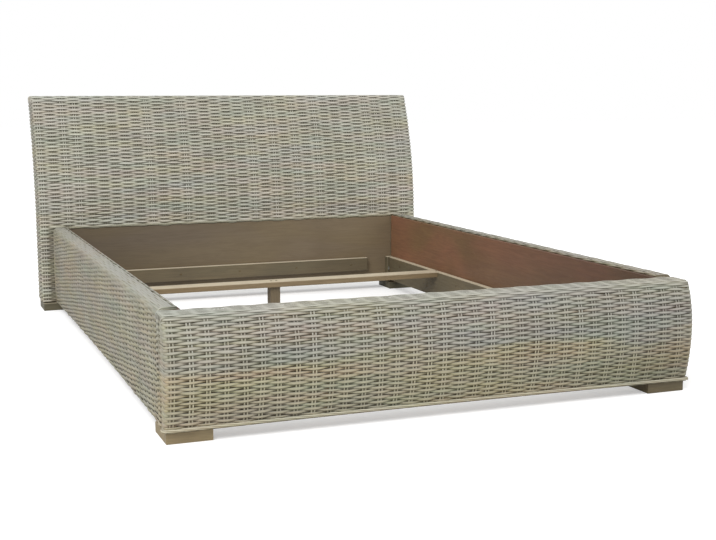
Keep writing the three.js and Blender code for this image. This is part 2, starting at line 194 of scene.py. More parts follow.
# The same with the ends wrapped: past the corner a row sinks by its drop against the outward direction
def wrappedOver(profile, across, half, run):
    place, drop, turned, straight = endWrap(across, half, form["cornerRound"])
    y, z, outY, outZ = onProfile(profile, run)
    points = pointsOf(place, y - outY * drop, z - outZ * drop)
    return points, unit(pointsOf(turned, outY * straight, outZ * straight))


drifts = {"lengths": (0.31, 0.17, 0.09), "phaseSteps": (0.23, 0.34, 0.45), "sway": 0.6, "swayRate": 0.37}


# Slow waves that differ a little from row to row: a sum of sines, each lower than the last, whose phases
# step on with the row and sway by a sine of it
def drift(rows, run, size):
    rows = rows[:, None]
    total = 0
    for i, (length, phaseStep) in enumerate(zip(drifts["lengths"], drifts["phaseSteps"])):
        sway = drifts["sway"] * np.sin(rows * drifts["swayRate"] + i)
        phase = scatter.uniform(0, 6.28) + rows * phaseStep + sway
        total = total + np.sin(2 * np.pi * run / length + phase) * size / (i + 1)
    return total


# A share between two limits that eases in and out: three times its square less twice its cube
def eased(value, low, high):
    share = np.clip((value - low) / (high - low), 0, 1)
    return share * share * (3 - 2 * share)


# Unevenness of hand work: one chance value per row and stake, eased from stake to stake along the row
def uneven(rowCount, turns, loop=0):
    low = int(np.floor(turns.min())) - 1
    count = loop or int(np.ceil(turns.max())) - low + 3
    chance = scatter.normal(0, 1, (rowCount, count))
    turns = np.broadcast_to(turns, (rowCount, turns.shape[-1]))
    base = np.floor(turns).astype(int)
    share = eased(turns - base, 0, 1)
    row = np.arange(rowCount)[:, None]
    here, ahead = (base - low) % count, (base - low + 1) % count
    return np.clip(chance[row, here] * (1 - share) + chance[row, ahead] * share, -2, 2)


# Faces between neighbouring rings, with the end rings filled, for an even number of points in a ring
def ringQuads(rows, steps, sides, closed):
    index = np.arange(rows * steps * sides).reshape(rows, steps, sides)
    here, ahead = (index, np.roll(index, -1, 1)) if closed else (index[:, :-1], index[:, 1:])
    nextHere, nextAhead = np.roll(here, -1, 2), np.roll(ahead, -1, 2)
    quads = [np.stack([here, nextHere, nextAhead, ahead], -1).reshape(-1, 4)]
    if not closed:
        for ring, flip in ((index[:, 0], True), (index[:, -1], False)):
            for k in range(1, sides - 2, 2):
                fan = ring[:, [0, k, k + 1, k + 2]]
                quads.append(fan[:, ::-1] if flip else fan)
    return np.concatenate(quads)


# A section carried along rows of points: it lies across the row's direction and out along the surface
def sweep(points, normals, halfWidth, halfThick, section, closed=False):
    if closed:
        direction = unit(np.roll(points, -1, 1) - np.roll(points, 1, 1))
    else:
        direction = unit(np.gradient(points, axis=1))
    across = unit(np.cross(normals, direction))
    outward = np.cross(direction, across)
    wide = np.broadcast_to(halfWidth, points.shape[:2])[..., None] * section[:, 0]
    thick = np.broadcast_to(halfThick, points.shape[:2])[..., None] * section[:, 1]
    rings = points[:, :, None] + across[:, :, None] * wide[..., None] + outward[:, :, None] * thick[..., None]
    shape = rings.shape[:3]
    return {"points": rings.reshape(-1, 3), "quads": ringQuads(*shape, closed), "shape": shape}


# Six times the volume inside four-sided faces, positive when they face outwards
def facing(points, quads):
    a, b, c, d = (points[quads[:, i]] for i in range(4))
    return np.einsum("ij,ij->", a, np.cross(b, c)) + np.einsum("ij,ij->", a, np.cross(c, d))


# One object from blocks of points and four-sided faces, turned outwards by the sign of the volume. Points
# carry the strand's own place (along, code, across) and a lift: 1 on the crests and 0 in the hollows, lowered
# where shade is painted. From the lift the cane tone paints highlight and shade.
def makePiece(name, blocks, material, replaced=(), smooth=True):
    start, points, quads, marks, lifts = 0, [], [], [], []
    for block in blocks:
        turned = block["quads"] if facing(block["points"], block["quads"]) > 0 else block["quads"][:, ::-1]
        points.append(block["points"])
        quads.append(turned + start)
        count = len(block["points"])
        marks.append(block.get("marks", np.zeros((count, 3))))
        lifts.append(block.get("lift", np.ones(count)))
        start += count
    points, quads = np.concatenate(points), np.concatenate(quads)
    mesh = bpy.data.meshes.new(name)
    mesh.vertices.add(len(points))
    mesh.vertices.foreach_set("co", points.astype(np.float32).ravel())
    mesh.loops.add(quads.size)
    mesh.loops.foreach_set("vertex_index", quads.astype(np.int32).ravel())
    mesh.polygons.add(len(quads))
    mesh.polygons.foreach_set("loop_start", np.arange(len(quads), dtype=np.int32) * 4)
    mesh.polygons.foreach_set("use_smooth", np.full(len(quads), smooth))
    path = mesh.attributes.new("strandPath", "FLOAT_VECTOR", "POINT")
    path.data.foreach_set("vector", np.concatenate(marks).astype(np.float32).ravel())
    lift = mesh.attributes.new("strandLift", "FLOAT", "POINT")
    lift.data.foreach_set("value", np.concatenate(lifts).astype(np.float32))
    mesh.update(calc_edges=True)
    mesh.materials.append(material)
    piece = bpy.data.objects.new(name, mesh)
    bpy.context.scene.collection.objects.link(piece)
    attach(piece, "root")
    if replaced:
        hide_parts(*replaced)
    print(name, len(quads) * 2, "triangles")


# Shader tools

# A colour of 0 to 255 in linear light: a power of 2.4, straight near black
def toLinear(red, green, blue):
    value = np.array([red, green, blue]) / 255
    return (*np.where(value < 0.04045, value / 12.92, ((value + 0.055) / 1.055) ** 2.4), 1)


# Adds a node, sets its properties, and joins or fills its inputs by name or number
def put(tree, kind, inputs=None, **settings):
    made = tree.nodes.new(kind)
    for key, value in settings.items():
        setattr(made, key, value)
    for key, value in (inputs or {}).items():
        if isinstance(value, bpy.types.NodeSocket):
            tree.links.new(value, made.inputs[key])
        else:
            made.inputs[key].default_value = value
    return made


# One step of arithmetic on sockets or numbers
def calc(tree, operation, a, b=0.0, c=0.0, clamp=False):
    return put(tree, "ShaderNodeMath", {0: a, 1: b, 2: c}, operation=operation, use_clamp=clamp).outputs[0]


# A value times a factor plus an offset
def scaled(tree, value, factor, offset, clamp=False):
    return calc(tree, "MULTIPLY_ADD", value, factor, offset, clamp)


# The first colour less a share of itself plus that share of the second
def blendColour(tree, share, a, b, mode="MIX"):
    return put(tree, "ShaderNodeMix", {0: share, 6: a, 7: b}, data_type="RGBA", blend_type=mode).outputs[2]


# The product of two colours
def timesColour(tree, a, b):
    return blendColour(tree, 1.0, a, b, "MULTIPLY")


# Cloudy chance values round one half, finer by the scale and rougher with more detail
def noise(tree, vector, scale=1.0, detail=2.0, rough=0.5, twist=0.0):
    made = put(tree, "ShaderNodeTexNoise", {"Vector": vector, "Scale": scale, "Detail": detail,
                                            "Roughness": rough, "Distortion": twist})
    return made.outputs["Fac"]


# Colours at stops along a share, straight between them
def ramp(tree, share, stops):
    made = put(tree, "ShaderNodeValToRGB", {0: share})
    while len(made.color_ramp.elements) < len(stops):
        made.color_ramp.elements.new(0.5)
    for element, (place, colour) in zip(made.color_ramp.elements, stops):
        element.position, element.color = place, colour
    return made.outputs[0]


# A place times a scale plus an offset, axis by axis
def stretched(tree, vector, scale, offset=(0, 0, 0)):
    return put(tree, "ShaderNodeMapping", {"Vector": vector, "Scale": scale, "Location": offset}).outputs[0]


# Place on the bed, the same for every piece
def placeOf(tree):
    return put(tree, "ShaderNodeTexCoord").outputs["Object"]


# A node group whose sockets take their kind from their first value: a number, a vector of 3 or a colour of 4
def newGroup(name, inputs, outputs):
    tree = bpy.data.node_groups.new(name, "ShaderNodeTree")
    kinds = {1: "NodeSocketFloat", 3: "NodeSocketVector", 4: "NodeSocketColor"}
    for side, sockets in (("INPUT", inputs), ("OUTPUT", outputs)):
        for label, value in sockets.items():
            made = tree.interface.new_socket(label, in_out=side, socket_type=kinds[np.size(value)])
            made.default_value = value
    return tree, tree.nodes.new("NodeGroupInput").outputs, tree.nodes.new("NodeGroupOutput").inputs


grey = (0.5, 0.5, 0.5, 1)
toneSockets = {"Color": grey, "Roughness": 0.5, "Height": 0.0}

cane = {
    # Each drift: place on the bed or on the strand, stretch, offset, detail and roughness
    "band": ("bed", (2.9, 2.9, 19.0), (0, 0, 0), 2.0, 0.55),
    "cane": ("strand", (4.0, 61.0, 0.0), (0, 0, 0), 1.0, 0.5),
    "blush": ("bed", (3.6, 3.6, 27.0), (4, 7, 2), 1.0, 0.5),
    "green": ("bed", (3.2, 3.2, 20.0), (8, 1, 5), 2.0, 0.6),
    "greenCane": ("strand", (4.3, 57.0, 0.0), (6, 2, 0), 1.0, 0.5),
    "shade": ("strand", (9.0, 83.0, 0.0), (3, 5, 0), 2.0, 0.5),
    "patch": ("bed", (7.0, 7.0, 18.0), (2, 9, 4), 2.0, 0.5),
    "streak": ("strand", (38.0, 71.0, 5.5), (0, 0, 0), 3.0, 0.65),
}
caneHues = [(0.28, (148, 156, 152)), (0.40, (156, 160, 149)), (0.50, (166, 163, 149)),
            (0.58, (169, 163, 142)), (0.68, (172, 161, 130)), (0.80, (168, 150, 124))]
caneStops = {
    "green": [(0.36, (1.09, 0.95, 1.09, 1)), (0.50, (1, 1, 1, 1)), (0.64, (0.92, 1.04, 0.9, 1))],
    "shade": [(0.3, (0.78, 0.77, 0.75, 1)), (0.7, (1.06, 1.06, 1.05, 1))],
    "patch": [(0.32, (0.84, 0.83, 0.8, 1)), (0.68, (1.07, 1.07, 1.07, 1))],
}
# Rose and streak are the cane's own; flank and hollow paint shade; wash is grey wash and a painted highlight
caneTones = {"rosy": (168, 152, 144), "streak": (116, 106, 84), "flankShade": (108, 99, 78),
             "washAndHighlight": (214, 211, 200), "hollowShade": (82, 74, 55)}


# Cane: hue drifts in bands over the bed and a little from cane to cane, from cool to warm and rose to green.
# Crests take the grey wash with a painted highlight by a share of the lift, flanks take painted shade, and
# strands below two fifths of the lift turn to a dark brown of painted shade.
def caneGroup():
    tree, given, result = newGroup("caneTone", {
        "Warmth": 0.0, "Wash And Highlight": 0.5, "Hollow Shade": 0.6, "Hue Spread": 1.0, "Flank Shade": 0.4,
        "Tint": (1.0, 1.0, 1.0, 1.0), "Low Tint": (1.0, 1.0, 1.0, 1.0)}, toneSockets)
    path = put(tree, "ShaderNodeAttribute", attribute_name="strandPath").outputs["Vector"]
    lift = put(tree, "ShaderNodeAttribute", attribute_name="strandLift").outputs["Fac"]
    places = {"bed": placeOf(tree), "strand": path}
    drifting = {key: noise(tree, stretched(tree, places[where], scale, offset), 1.0, detail, rough)
                for key, (where, scale, offset, detail, rough) in cane.items()}
    tones = {key: toLinear(*tone) for key, tone in caneTones.items()}

    # Hue from cool to warm, then rose and green, then dark and pale stretches
    spread = scaled(tree, drifting["band"], 1.6, scaled(tree, drifting["cane"], 0.4, -1.0))
    hue = scaled(tree, spread, given["Hue Spread"], scaled(tree, given["Warmth"], 0.1, 0.5))
    base = ramp(tree, hue, [(place, toLinear(*tone)) for place, tone in caneHues])
    rosy = calc(tree, "MULTIPLY", scaled(tree, drifting["blush"], 5.0, -2.9, True), given["Hue Spread"])
    base = blendColour(tree, rosy, base, tones["rosy"])
    green = scaled(tree, drifting["greenCane"], 0.4, scaled(tree, drifting["green"], 1.1, -0.25))
    greened = timesColour(tree, base, ramp(tree, green, caneStops["green"]))
    base = blendColour(tree, given["Hue Spread"], base, greened)
    for key in ("shade", "patch"):
        base = timesColour(tree, base, ramp(tree, drifting[key], caneStops[key]))
    base = blendColour(tree, scaled(tree, drifting["streak"], -1.5, 0.95, True), base, tones["streak"])

    # The crown of the cane lies at 2 across it: flanks take painted shade, crests the grey wash and a
    # painted highlight, hollows sink away into a painted shade of dark brown
    across = put(tree, "ShaderNodeSeparateXYZ", {0: path}).outputs[2]
    ridge = calc(tree, "SUBTRACT", 1.0, calc(tree, "ABSOLUTE", scaled(tree, across, 0.5, -1.0)), clamp=True)
    flankShade = calc(tree, "MULTIPLY", calc(tree, "SUBTRACT", 1.0, ridge), given["Flank Shade"])
    base = blendColour(tree, flankShade, base, tones["flankShade"])
    washedAndLit = calc(tree, "MULTIPLY", calc(tree, "MULTIPLY", lift, ridge), given["Wash And Highlight"], clamp=True)
    base = blendColour(tree, washedAndLit, base, tones["washAndHighlight"])
    hollowShade = calc(tree, "POWER", scaled(tree, lift, -2.4, 1.0, True), 1.2)
    base = blendColour(tree, calc(tree, "MULTIPLY", hollowShade, given["Hollow Shade"]), base, tones["hollowShade"])

    # A second tint takes over low down, along an edge that wavers with the bands
    height = put(tree, "ShaderNodeSeparateXYZ", {0: places["bed"]}).outputs[2]
    low = scaled(tree, height, -20.0, scaled(tree, drifting["band"], 2.4, 3.1), True)
    tint = blendColour(tree, low, given["Tint"], given["Low Tint"])
    tree.links.new(timesColour(tree, base, tint), result["Color"])
    tree.links.new(scaled(tree, drifting["streak"], 0.3, 0.5), result["Roughness"])
    tree.links.new(drifting["streak"], result["Height"])
    return tree


# Timber: fine pores and slow figure, both drawn out along the grain, with stain that drifts to a second hue
def timberGroup():
    tree, given, result = newGroup("timberGrain", {
        "Stretch": (1.0, 1.0, 1.0), "Light": (0.3, 0.3, 0.3, 1), "Dark": (0.1, 0.1, 0.1, 1),
        "Drift": (0.2, 0.2, 0.2, 1), "Figure": 0.5, "Blotch": 0.4}, toneSockets)
    here = placeOf(tree)
    drawn = put(tree, "ShaderNodeVectorMath", {0: here, 1: given["Stretch"]}, operation="MULTIPLY").outputs[0]
    figure = noise(tree, drawn, 1.0, 3.0, 0.55, 1.4)
    rings = calc(tree, "FRACT", calc(tree, "MULTIPLY", figure, 7.0))
    rings = calc(tree, "ABSOLUTE", scaled(tree, rings, 2.0, -1.0))
    pores = noise(tree, drawn, 9.0, 4.0, 0.7)
    ringed = scaled(tree, rings, 0.5, calc(tree, "MULTIPLY", pores, 0.6))
    share = calc(tree, "MULTIPLY", ringed, given["Figure"], clamp=True)
    stain = noise(tree, stretched(tree, here, (2.2, 2.2, 6.0), (1, 3, 5)), 1.0, 1.0, 0.5, 0.4)
    light = blendColour(tree, scaled(tree, stain, 4.0, -1.7, True), given["Light"], given["Drift"])
    colour = blendColour(tree, share, light, given["Dark"])
    blotch = noise(tree, here, 3.1, 2.0, 0.5, 0.6)
    patch = calc(tree, "MULTIPLY", scaled(tree, blotch, 3.0, -1.2, True), given["Blotch"])
    tree.links.new(blendColour(tree, patch, colour, given["Dark"]), result["Color"])
    tree.links.new(scaled(tree, pores, 0.3, 0.42), result["Roughness"])
    tree.links.new(scaled(tree, pores, 0.7, calc(tree, "MULTIPLY", rings, 0.3)), result["Height"])
    return tree


# Dust, sun-bleaching and painted light from above: faces that look up are paler, broken up by a soft mottle
def dustAndTopLightGroup():
    tree, given, result = newGroup("dustAndTopLight", {"Color": grey, "Pale": (0.6, 0.6, 0.6, 1), "Amount": 0.3},
                                   {"Color": grey})
    normal = put(tree, "ShaderNodeNewGeometry").outputs["Normal"]
    facingUp = put(tree, "ShaderNodeSeparateXYZ", {0: normal}).outputs[2]
    mottle = noise(tree, placeOf(tree), 14.0, 3.0, 0.6)
    share = calc(tree, "MULTIPLY", calc(tree, "POWER", calc(tree, "MAXIMUM", facingUp, 0.0), 2.0),
                 calc(tree, "MULTIPLY", given["Amount"], scaled(tree, mottle, 0.8, 0.6)), clamp=True)
    tree.links.new(blendColour(tree, share, given["Color"], given["Pale"]), result["Color"])
    return tree


# Painted light that fades across the bed: the colour times one plus the place dotted with a slope
def fadeGroup():
    tree, given, result = newGroup("paintedLightFade", {"Color": grey, "Slope": (0.0, 0.0, 0.0)}, {"Color": grey})
    rise = put(tree, "ShaderNodeVectorMath", {0: placeOf(tree), 1: given["Slope"]}, operation="DOT_PRODUCT")
    faded = put(tree, "ShaderNodeVectorMath", {0: given["Color"],
                                               "Scale": calc(tree, "ADD", rise.outputs["Value"], 1.0)},
                operation="SCALE")
    tree.links.new(faded.outputs[0], result["Color"])
    return tree


caneTone, timberGrain, dustAndTopLight, paintedLightFade = caneGroup(), timberGroup(), dustAndTopLightGroup(), fadeGroup()


# A material with its node tree and its shader
def newMaterial(name):
    material = bpy.data.materials.new(name)
    material.use_nodes = True
    tree = material.node_tree
    return material, tree, tree.nodes["Principled BSDF"]


# A group's outputs inside a material
def addGroup(tree, group, inputs):
    return put(tree, "ShaderNodeGroup", inputs, node_tree=group).outputs


# Joins a tone to the shader: its colour fades by the slope as painted light, is paler on top from dust and
# painted light, and its height gives relief
def dress(tree, shader, tone, slope, pale, dustAndLight, strength, distance):
    faded = addGroup(tree, paintedLightFade, {"Color": tone["Color"], "Slope": slope})
    top = addGroup(tree, dustAndTopLight, {"Color": faded["Color"], "Pale": toLinear(*pale), "Amount": dustAndLight})
    bump = put(tree, "ShaderNodeBump", {"Strength": strength, "Distance": distance, "Height": tone["Height"]})
    tree.links.new(top["Color"], shader.inputs["Base Color"])
    tree.links.new(tone["Roughness"], shader.inputs["Roughness"])
    tree.links.new(bump.outputs[0], shader.inputs["Normal"])


# Cane of one part of the bed: the shared cane tone with that part's own tint, wash and painted highlight,
# fade of painted light, and paleness on top from dust and painted light
def caneMaterial(name, warmth, washAndHighlight, hollowShade, flankShade, hueSpread=0.6, tint=(1, 1, 1), lowTint=None, dustAndLight=0.25,
                 pale=(205, 206, 196), slope=(0, 0, 0)):
    material, tree, shader = newMaterial(name)
    tone = addGroup(tree, caneTone, {
        "Warmth": warmth, "Wash And Highlight": washAndHighlight, "Hollow Shade": hollowShade, "Hue Spread": hueSpread, "Flank Shade": flankShade,
        "Tint": (*tint, 1), "Low Tint": (*(lowTint or tint), 1)})
    dress(tree, shader, tone, slope, pale, dustAndLight, 0.35, 0.0006)
    return material


timber = {"alongGrain": 1.6, "acrossGrain": 24.0, "pale": (196, 184, 160)}


# Timber whose grain runs along axis 0, 1 or 2: its place is stretched less along that axis
def timberMaterial(name, light, dark, stain, grain, figure, blotch, dustAndLight=0.0, slope=(0, 0, 0)):
    material, tree, shader = newMaterial(name)
    stretch = tuple(timber["alongGrain"] if axis == grain else timber["acrossGrain"] for axis in range(3))
    wood = addGroup(tree, timberGrain, {
        "Stretch": stretch, "Light": toLinear(*light), "Dark": toLinear(*dark), "Drift": toLinear(*stain),
        "Figure": figure, "Blotch": blotch})
    dress(tree, shader, wood, slope, timber["pale"], dustAndLight, 0.3, 0.0008)
    return material


# Fine specks between two tones. With a span the roughness rises by it times the speck.
def speckMaterial(name, deep, light, scale, detail=2.0, rough=0.5, roughness=0.95, span=0.0, metallic=0.0):
    material, tree, shader = newMaterial(name)
    speck = noise(tree, placeOf(tree), scale, detail, rough)
    tone = ramp(tree, speck, [(0.3, toLinear(*deep)), (0.7, toLinear(*light))])
    tree.links.new(tone, shader.inputs["Base Color"])
    shader.inputs["Metallic"].default_value = metallic
    shader.inputs["Roughness"].default_value = roughness
    if span:
        tree.links.new(scaled(tree, speck, span, roughness), shader.inputs["Roughness"])
    return material


# Each part's tint also paints the light on it: the headboard lighter, the footboard and the rails darker
caneHead = caneMaterial("cane_headboard", warmth=0.0, washAndHighlight=0.4, hollowShade=0.65, flankShade=0.35, hueSpread=0.48,
                        tint=(1.19, 1.21, 1.215), slope=(0.015, 0, -0.23))
caneFoot = caneMaterial("cane_footboard", warmth=0.2, washAndHighlight=0.65, hollowShade=0.4, flankShade=0.5, hueSpread=0.9,
                        tint=(0.635, 0.642, 0.63), lowTint=(0.70, 0.67, 0.55), dustAndLight=0.36,
                        slope=(-0.08, 0, 0))
caneRail = caneMaterial("cane_side_rail", warmth=0.6, washAndHighlight=0.3, hollowShade=0.5, flankShade=0.15, hueSpread=0.5,
                        tint=(0.715, 0.706, 0.653), dustAndLight=0.6, pale=(159, 159, 155), slope=(0, -0.08, 0))
caneEdge = caneMaterial("cane_edge", warmth=0.3, washAndHighlight=0.5, hollowShade=0.6, flankShade=0.5, tint=(0.85, 0.87, 0.82))
caneBorder = caneMaterial("cane_border", warmth=1.6, washAndHighlight=0.8, hollowShade=0.5, flankShade=0.6, tint=(0.8, 0.79, 0.68),
                          slope=(-0.12, 0, 0))
# Dark sheets behind the weave are painted shade seen through its gaps, paler behind the footboard and rails
backingShade = speckMaterial("backing_painted_shade", (38, 33, 26), (60, 53, 42), 900.0)
backingShadePale = speckMaterial("backing_painted_shade_pale", (84, 76, 58), (106, 97, 76), 900.0)
print("materials for the weave made")


# Camera, at the photograph's place and angle

view = {"place": (-1.403, -4.1225, 0.8782), "turn": 21.13, "down": 8.21, "roll": -0.0027, "lens": 61.06}


# Rolled about its own axis, tipped down from level, turned about the vertical, then moved to its place
def addCamera():
    data = bpy.data.cameras.new("photoCamera")
    data.lens, data.sensor_width, data.clip_end = view["lens"], 36, 200
    camera = bpy.data.objects.new("photoCamera", data)
    tipped = Matrix.Rotation(np.radians(90 - view["down"]), 4, "X") @ Matrix.Rotation(view["roll"], 4, "Z")
    turned = Matrix.Rotation(-np.radians(view["turn"]), 4, "Z") @ tipped
    camera.matrix_world = Matrix.Translation(view["place"]) @ turned
    bpy.context.scene.collection.objects.link(camera)
    bpy.context.scene.camera = camera


addCamera()
print("camera placed")


# Weave

strandSection = np.array([[-1.0, -0.15], [-0.62, 0.72], [0.0, 1.0], [0.62, 0.72], [1.0, -0.15], [0.0, -0.8]])
rodSection = np.array([[np.cos(a), np.sin(a)] for a in np.arange(6) * np.pi / 3])
weave = {
    "strandThick": 0.0021,
    "rodWidth": 0.0046,
    "rodThick": 0.0028,
    "rodApart": 0.0088,         # the two rods of one stake
    "flush": 1e-6,              # depth of a rod that lies on its own line
    "stakeStray": 0.045,        # chance shift of a stake, in pitches
    "fill": 0.52,               # half width of a strand, in rows
    "spread": 0.12,             # a strand widens over a stake and narrows behind it
    "wander": 0.0008,
    "stray": 0.0005,            # chance sideways shift at each stake
    "rowStray": 0.0004,         # chance shift of a whole row
    "rowWidths": (0.94, 1.05),
    "jitter": 0.10,             # chance change of width at each stake
    "press": 0.0002,            # chance sinking at each stake
    "stepsPerStake": 6,
    "closest": 0.35,            # even samples nearer than this to an extra one are left out, in steps
    "tuck": 0.0028,             # strand ends dive behind the face
    "tuckRun": 0.005,
    "cornerRun": 0.0157,        # stretch with extra samples round a corner
    "edge": 0.001,              # stakes and sheets end this far inside the edge of their shell,
    "margin": 0.002,            # and rows, twists and the ends over a top this far
    "codeStep": 1.37,           # strand codes only tell one strand's colours from the next
    "rodCodes": (200, 300),
    "twistCodes": (400, 500),
    "twistStep": 3.3,
    "twistLift": 0.8,
    "sheetDepth": 0.0070,
    "sheetThick": 0.00018,
}
stakePair = np.array([[-0.5], [0.5]]) * weave["rodApart"]


# Stakes stand at even places with a little scatter; between them the place is counted in stakes
def stakeRow(low, high, pitch):
    count = np.arange(np.ceil(low / pitch), np.floor(high / pitch) + 1)
    places = (count + scatter.uniform(-weave["stakeStray"], weave["stakeStray"], len(count))) * pitch
    return places, count


# Distances counted in stakes, straight from stake to stake and for one pitch beyond the last on each side
def stakeTurns(run, places, count, pitch):
    return np.interp(run, np.concatenate([[places[0] - pitch], places, [places[-1] + pitch]]),
                     np.concatenate([[count[0] - 1], count, [count[-1] + 1]]))


# Distances to sample along a strand: even steps, with extra ones round each corner and at the cut ends
def samples(low, high, pitch, corners=(), cut=True):
    step = pitch / weave["stepsPerStake"]
    run = np.linspace(low, high, int(round((high - low) / step)) + 1)
    extra = [np.linspace(a, b, 5) for a, b in corners]
    if cut:
        tucks = np.array([0.5, 1.0]) * weave["tuckRun"]
        extra += [low + tucks, high - tucks]
    extra = np.concatenate([*extra, [low, high]])
    near = np.abs(run[:, None] - extra[None]).min(1) < step * weave["closest"]
    return np.unique(np.concatenate([run[~near], extra]))


# The stretches round the two corners of a row that wraps at its ends, given where the corners end
def wrapCorners(turned):
    return [(-turned, weave["cornerRun"] - turned), (turned - weave["cornerRun"], turned)]


# Height of each row along its run: even rows, a slow drift and, where asked for, a chance shift of each row
def rowLevels(rows, run, start, size, wander=1.0, stray=False):
    levels = start + (rows[:, None] + 0.5) * size + drift(rows, run, weave["wander"] * wander)
    return levels + scatter.normal(0, weave["rowStray"], (len(rows), 1)) if stray else levels


# One strand per row. It sinks from the face by a wave: five quarters of the cosine of the stakes passed, less
# a quarter of its cube. Each row starts half a wave on from the last, so that it passes over the stakes which
# its neighbours pass behind. The relief is the share of the travel. The tone sets how dark the sunk stretches
# are painted, the shade lowers the lift where shade is painted, and even flattens the painted shading across
# a strand.
def strands(points, normals, turns, rows, rowPitch, run, relief=1.0, shade=1.0, closed=False, loop=0,
            tone=None, fill=weave["fill"], even=0.0):
    wave = np.cos(np.pi * (turns + rows[:, None]))
    wave = wave * (1.25 - 0.25 * wave**2)
    chance = uneven(len(rows), turns, loop)
    size = scatter.uniform(*weave["rowWidths"], (len(rows), 1)) * (1 + weave["jitter"] * chance)
    travel = form["skin"] - weave["strandThick"]
    depth = weave["strandThick"] / 2 + (1 - wave) / 2 * travel * relief + np.abs(chance) * weave["press"]
    if not closed:
        toEnd = np.minimum(run - run[..., :1], run[..., -1:] - run)
        depth = depth + weave["tuck"] * np.clip(1 - toEnd / weave["tuckRun"], 0, 1) ** 2
    depth = np.minimum(depth, form["skin"] - weave["strandThick"] / 2)
    halfWidth = rowPitch * fill * size * (1 + weave["spread"] * wave * relief)
    sunk = points - normals * depth[..., None]
    block = sweep(sunk, normals, halfWidth, weave["strandThick"] / 2, strandSection, closed)
    shape = block["shape"]
    code = scatter.permutation(len(rows)) * weave["codeStep"] + scatter.uniform(0, 1)
    even = np.broadcast_to(even, shape[:2])[:, :, None]
    across = np.arange(shape[2]) * (1 - even) + 2 * even
    block["marks"] = marked(shape, np.broadcast_to(run, shape[:2])[:, :, None], code[:, None, None], across)
    lift = (1 - (1 - wave) / 2 * (relief if tone is None else tone)) * shade
    block["lift"] = np.broadcast_to(lift[:, :, None], shape).ravel()
    return block


# The strand's own place at every point of a swept block: distance along it, its code, and place across it
def marked(shape, along, code, across):
    return np.stack([np.broadcast_to(part, shape) for part in (along, code, across)], -1).reshape(-1, 3)


# Round rods carried along lines of points and sunk from them by a depth
def rods(points, normals, lift=0.6, width=weave["rodWidth"], thick=weave["rodThick"], depth=form["skin"] / 2,
         crest=None):
    points = points.reshape(-1, *points.shape[-2:])
    normals = np.broadcast_to(normals, points.shape)
    block = sweep(points - normals * depth, normals, width / 2, thick / 2, rodSection)
    shape = block["shape"]
    along = np.linalg.norm(np.diff(points, axis=1, prepend=points[:, :1]), axis=2).cumsum(1)
    code = scatter.uniform(*weave["rodCodes"], shape[0])
    across = np.arange(shape[2]) + 0.5 if crest is None else crest
    block["marks"] = marked(shape, along[:, :, None], code[:, None, None], across)
    block["lift"] = np.repeat(np.broadcast_to(lift, shape[:2]).ravel(), shape[2]).astype(float)
    return block


# A thin sheet behind the weave, in a dark tone of painted shade: a grid of points and the same grid a little
# deeper, closed round its rim
def backing(points, normals, closed=False, depth=weave["sheetDepth"]):
    rows, steps = points.shape[:2]
    outer, inner = points - normals * depth, points - normals * (depth + weave["sheetThick"])
    deep = rows * steps
    grid = np.arange(deep).reshape(rows, steps)
    wide = np.concatenate([grid, grid[:, :1]], 1) if closed else grid
    cells = lambda g: np.stack([g[:-1, :-1], g[:-1, 1:], g[1:, 1:], g[1:, :-1]], -1).reshape(-1, 4)
    strip = lambda line: np.stack([line[:-1], line[:-1] + deep, line[1:] + deep, line[1:]], -1)
    quads = [cells(wide), cells(wide + deep)[:, ::-1], strip(wide[0]), strip(wide[-1])[:, ::-1]]
    if not closed:
        quads += [strip(wide[:, 0])[:, ::-1], strip(wide[:, -1])]
    return {"points": np.concatenate([outer, inner]).reshape(-1, 3), "quads": np.concatenate(quads)}


# Strands twisted round a line: each circles the line once in every lay, evenly spaced round it
def twisted(line, side, strandCount, radius, circle, lay):
    run = np.concatenate([[0], np.cumsum(np.linalg.norm(np.diff(line, axis=0), axis=1))])
    angle = 2 * np.pi * (run[None] / lay + np.arange(strandCount)[:, None] / strandCount)
    outward = np.cos(angle)[..., None] * side + np.sin(angle)[..., None] * upward
    block = sweep(line[None] + outward * circle, outward, radius, radius, rodSection)
    code = np.arange(strandCount)[:, None, None] * weave["twistStep"] + scatter.uniform(*weave["twistCodes"])
    block["marks"] = marked(block["shape"], run[None, :, None], code, np.arange(len(rodSection)))
    block["lift"] = np.full(len(block["points"]), weave["twistLift"])
    return block


# Headboard: closed loops round the front, sides and back, and rows over the top whose ends turn down

head = {
    "stakes": 72,
    "row": 0.0079,
    "loopTop": 0.854,           # loops end here and the rows over the top begin
    "dive": 0.020,
    "stakeShift": -0.0160,
    "paleStakes": 0.22,         # share of the stakes in front that catch the light
    "paleLift": 0.9,
    "darkLift": 0.12,
    "sideLift": 0.2,
    "rodDepth": 0.0046,
    "sideStakeTop": 0.020,      # stakes up the sides end this far below the top
    "windowSide": 0.003,        # rows below the rail tops start this far outside the well
    "windowSpare": 0.1,         # part of a row left free over the head panel
    "windowStake": (0.008, 0.004),      # stakes nearer to the well than this start so far above it
    "firstStep": 0.01,
    "cornerCalm": 0.15,
    "cornerEase": (0.02, 0.004),
    "crownRelief": 0.8,
    "endShade": 0.65,
    "endTurn": (0.6, 0.95),
    "wingTone": 0.1,            # each wing beside a side rail is in its shade
    "wingEase": (0.013, 0.029),
    "wingDepth": 0.02,
    "sheetLap": 0.006,
    "sheetInset": 0.0075,
}
headSide = headProfile()
headFlat = form["headHalf"] - form["cornerRound"]
headTurned = headFlat + form["cornerRound"] * np.pi / 2
quarter = headTurned + form["headDepth"] / 2 - form["cornerRound"]
headPitch = 4 * quarter / head["stakes"]
headCounts = np.arange(-1, head["stakes"] + 2)
headShift = scatter.uniform(-weave["stakeStray"], weave["stakeStray"], head["stakes"])
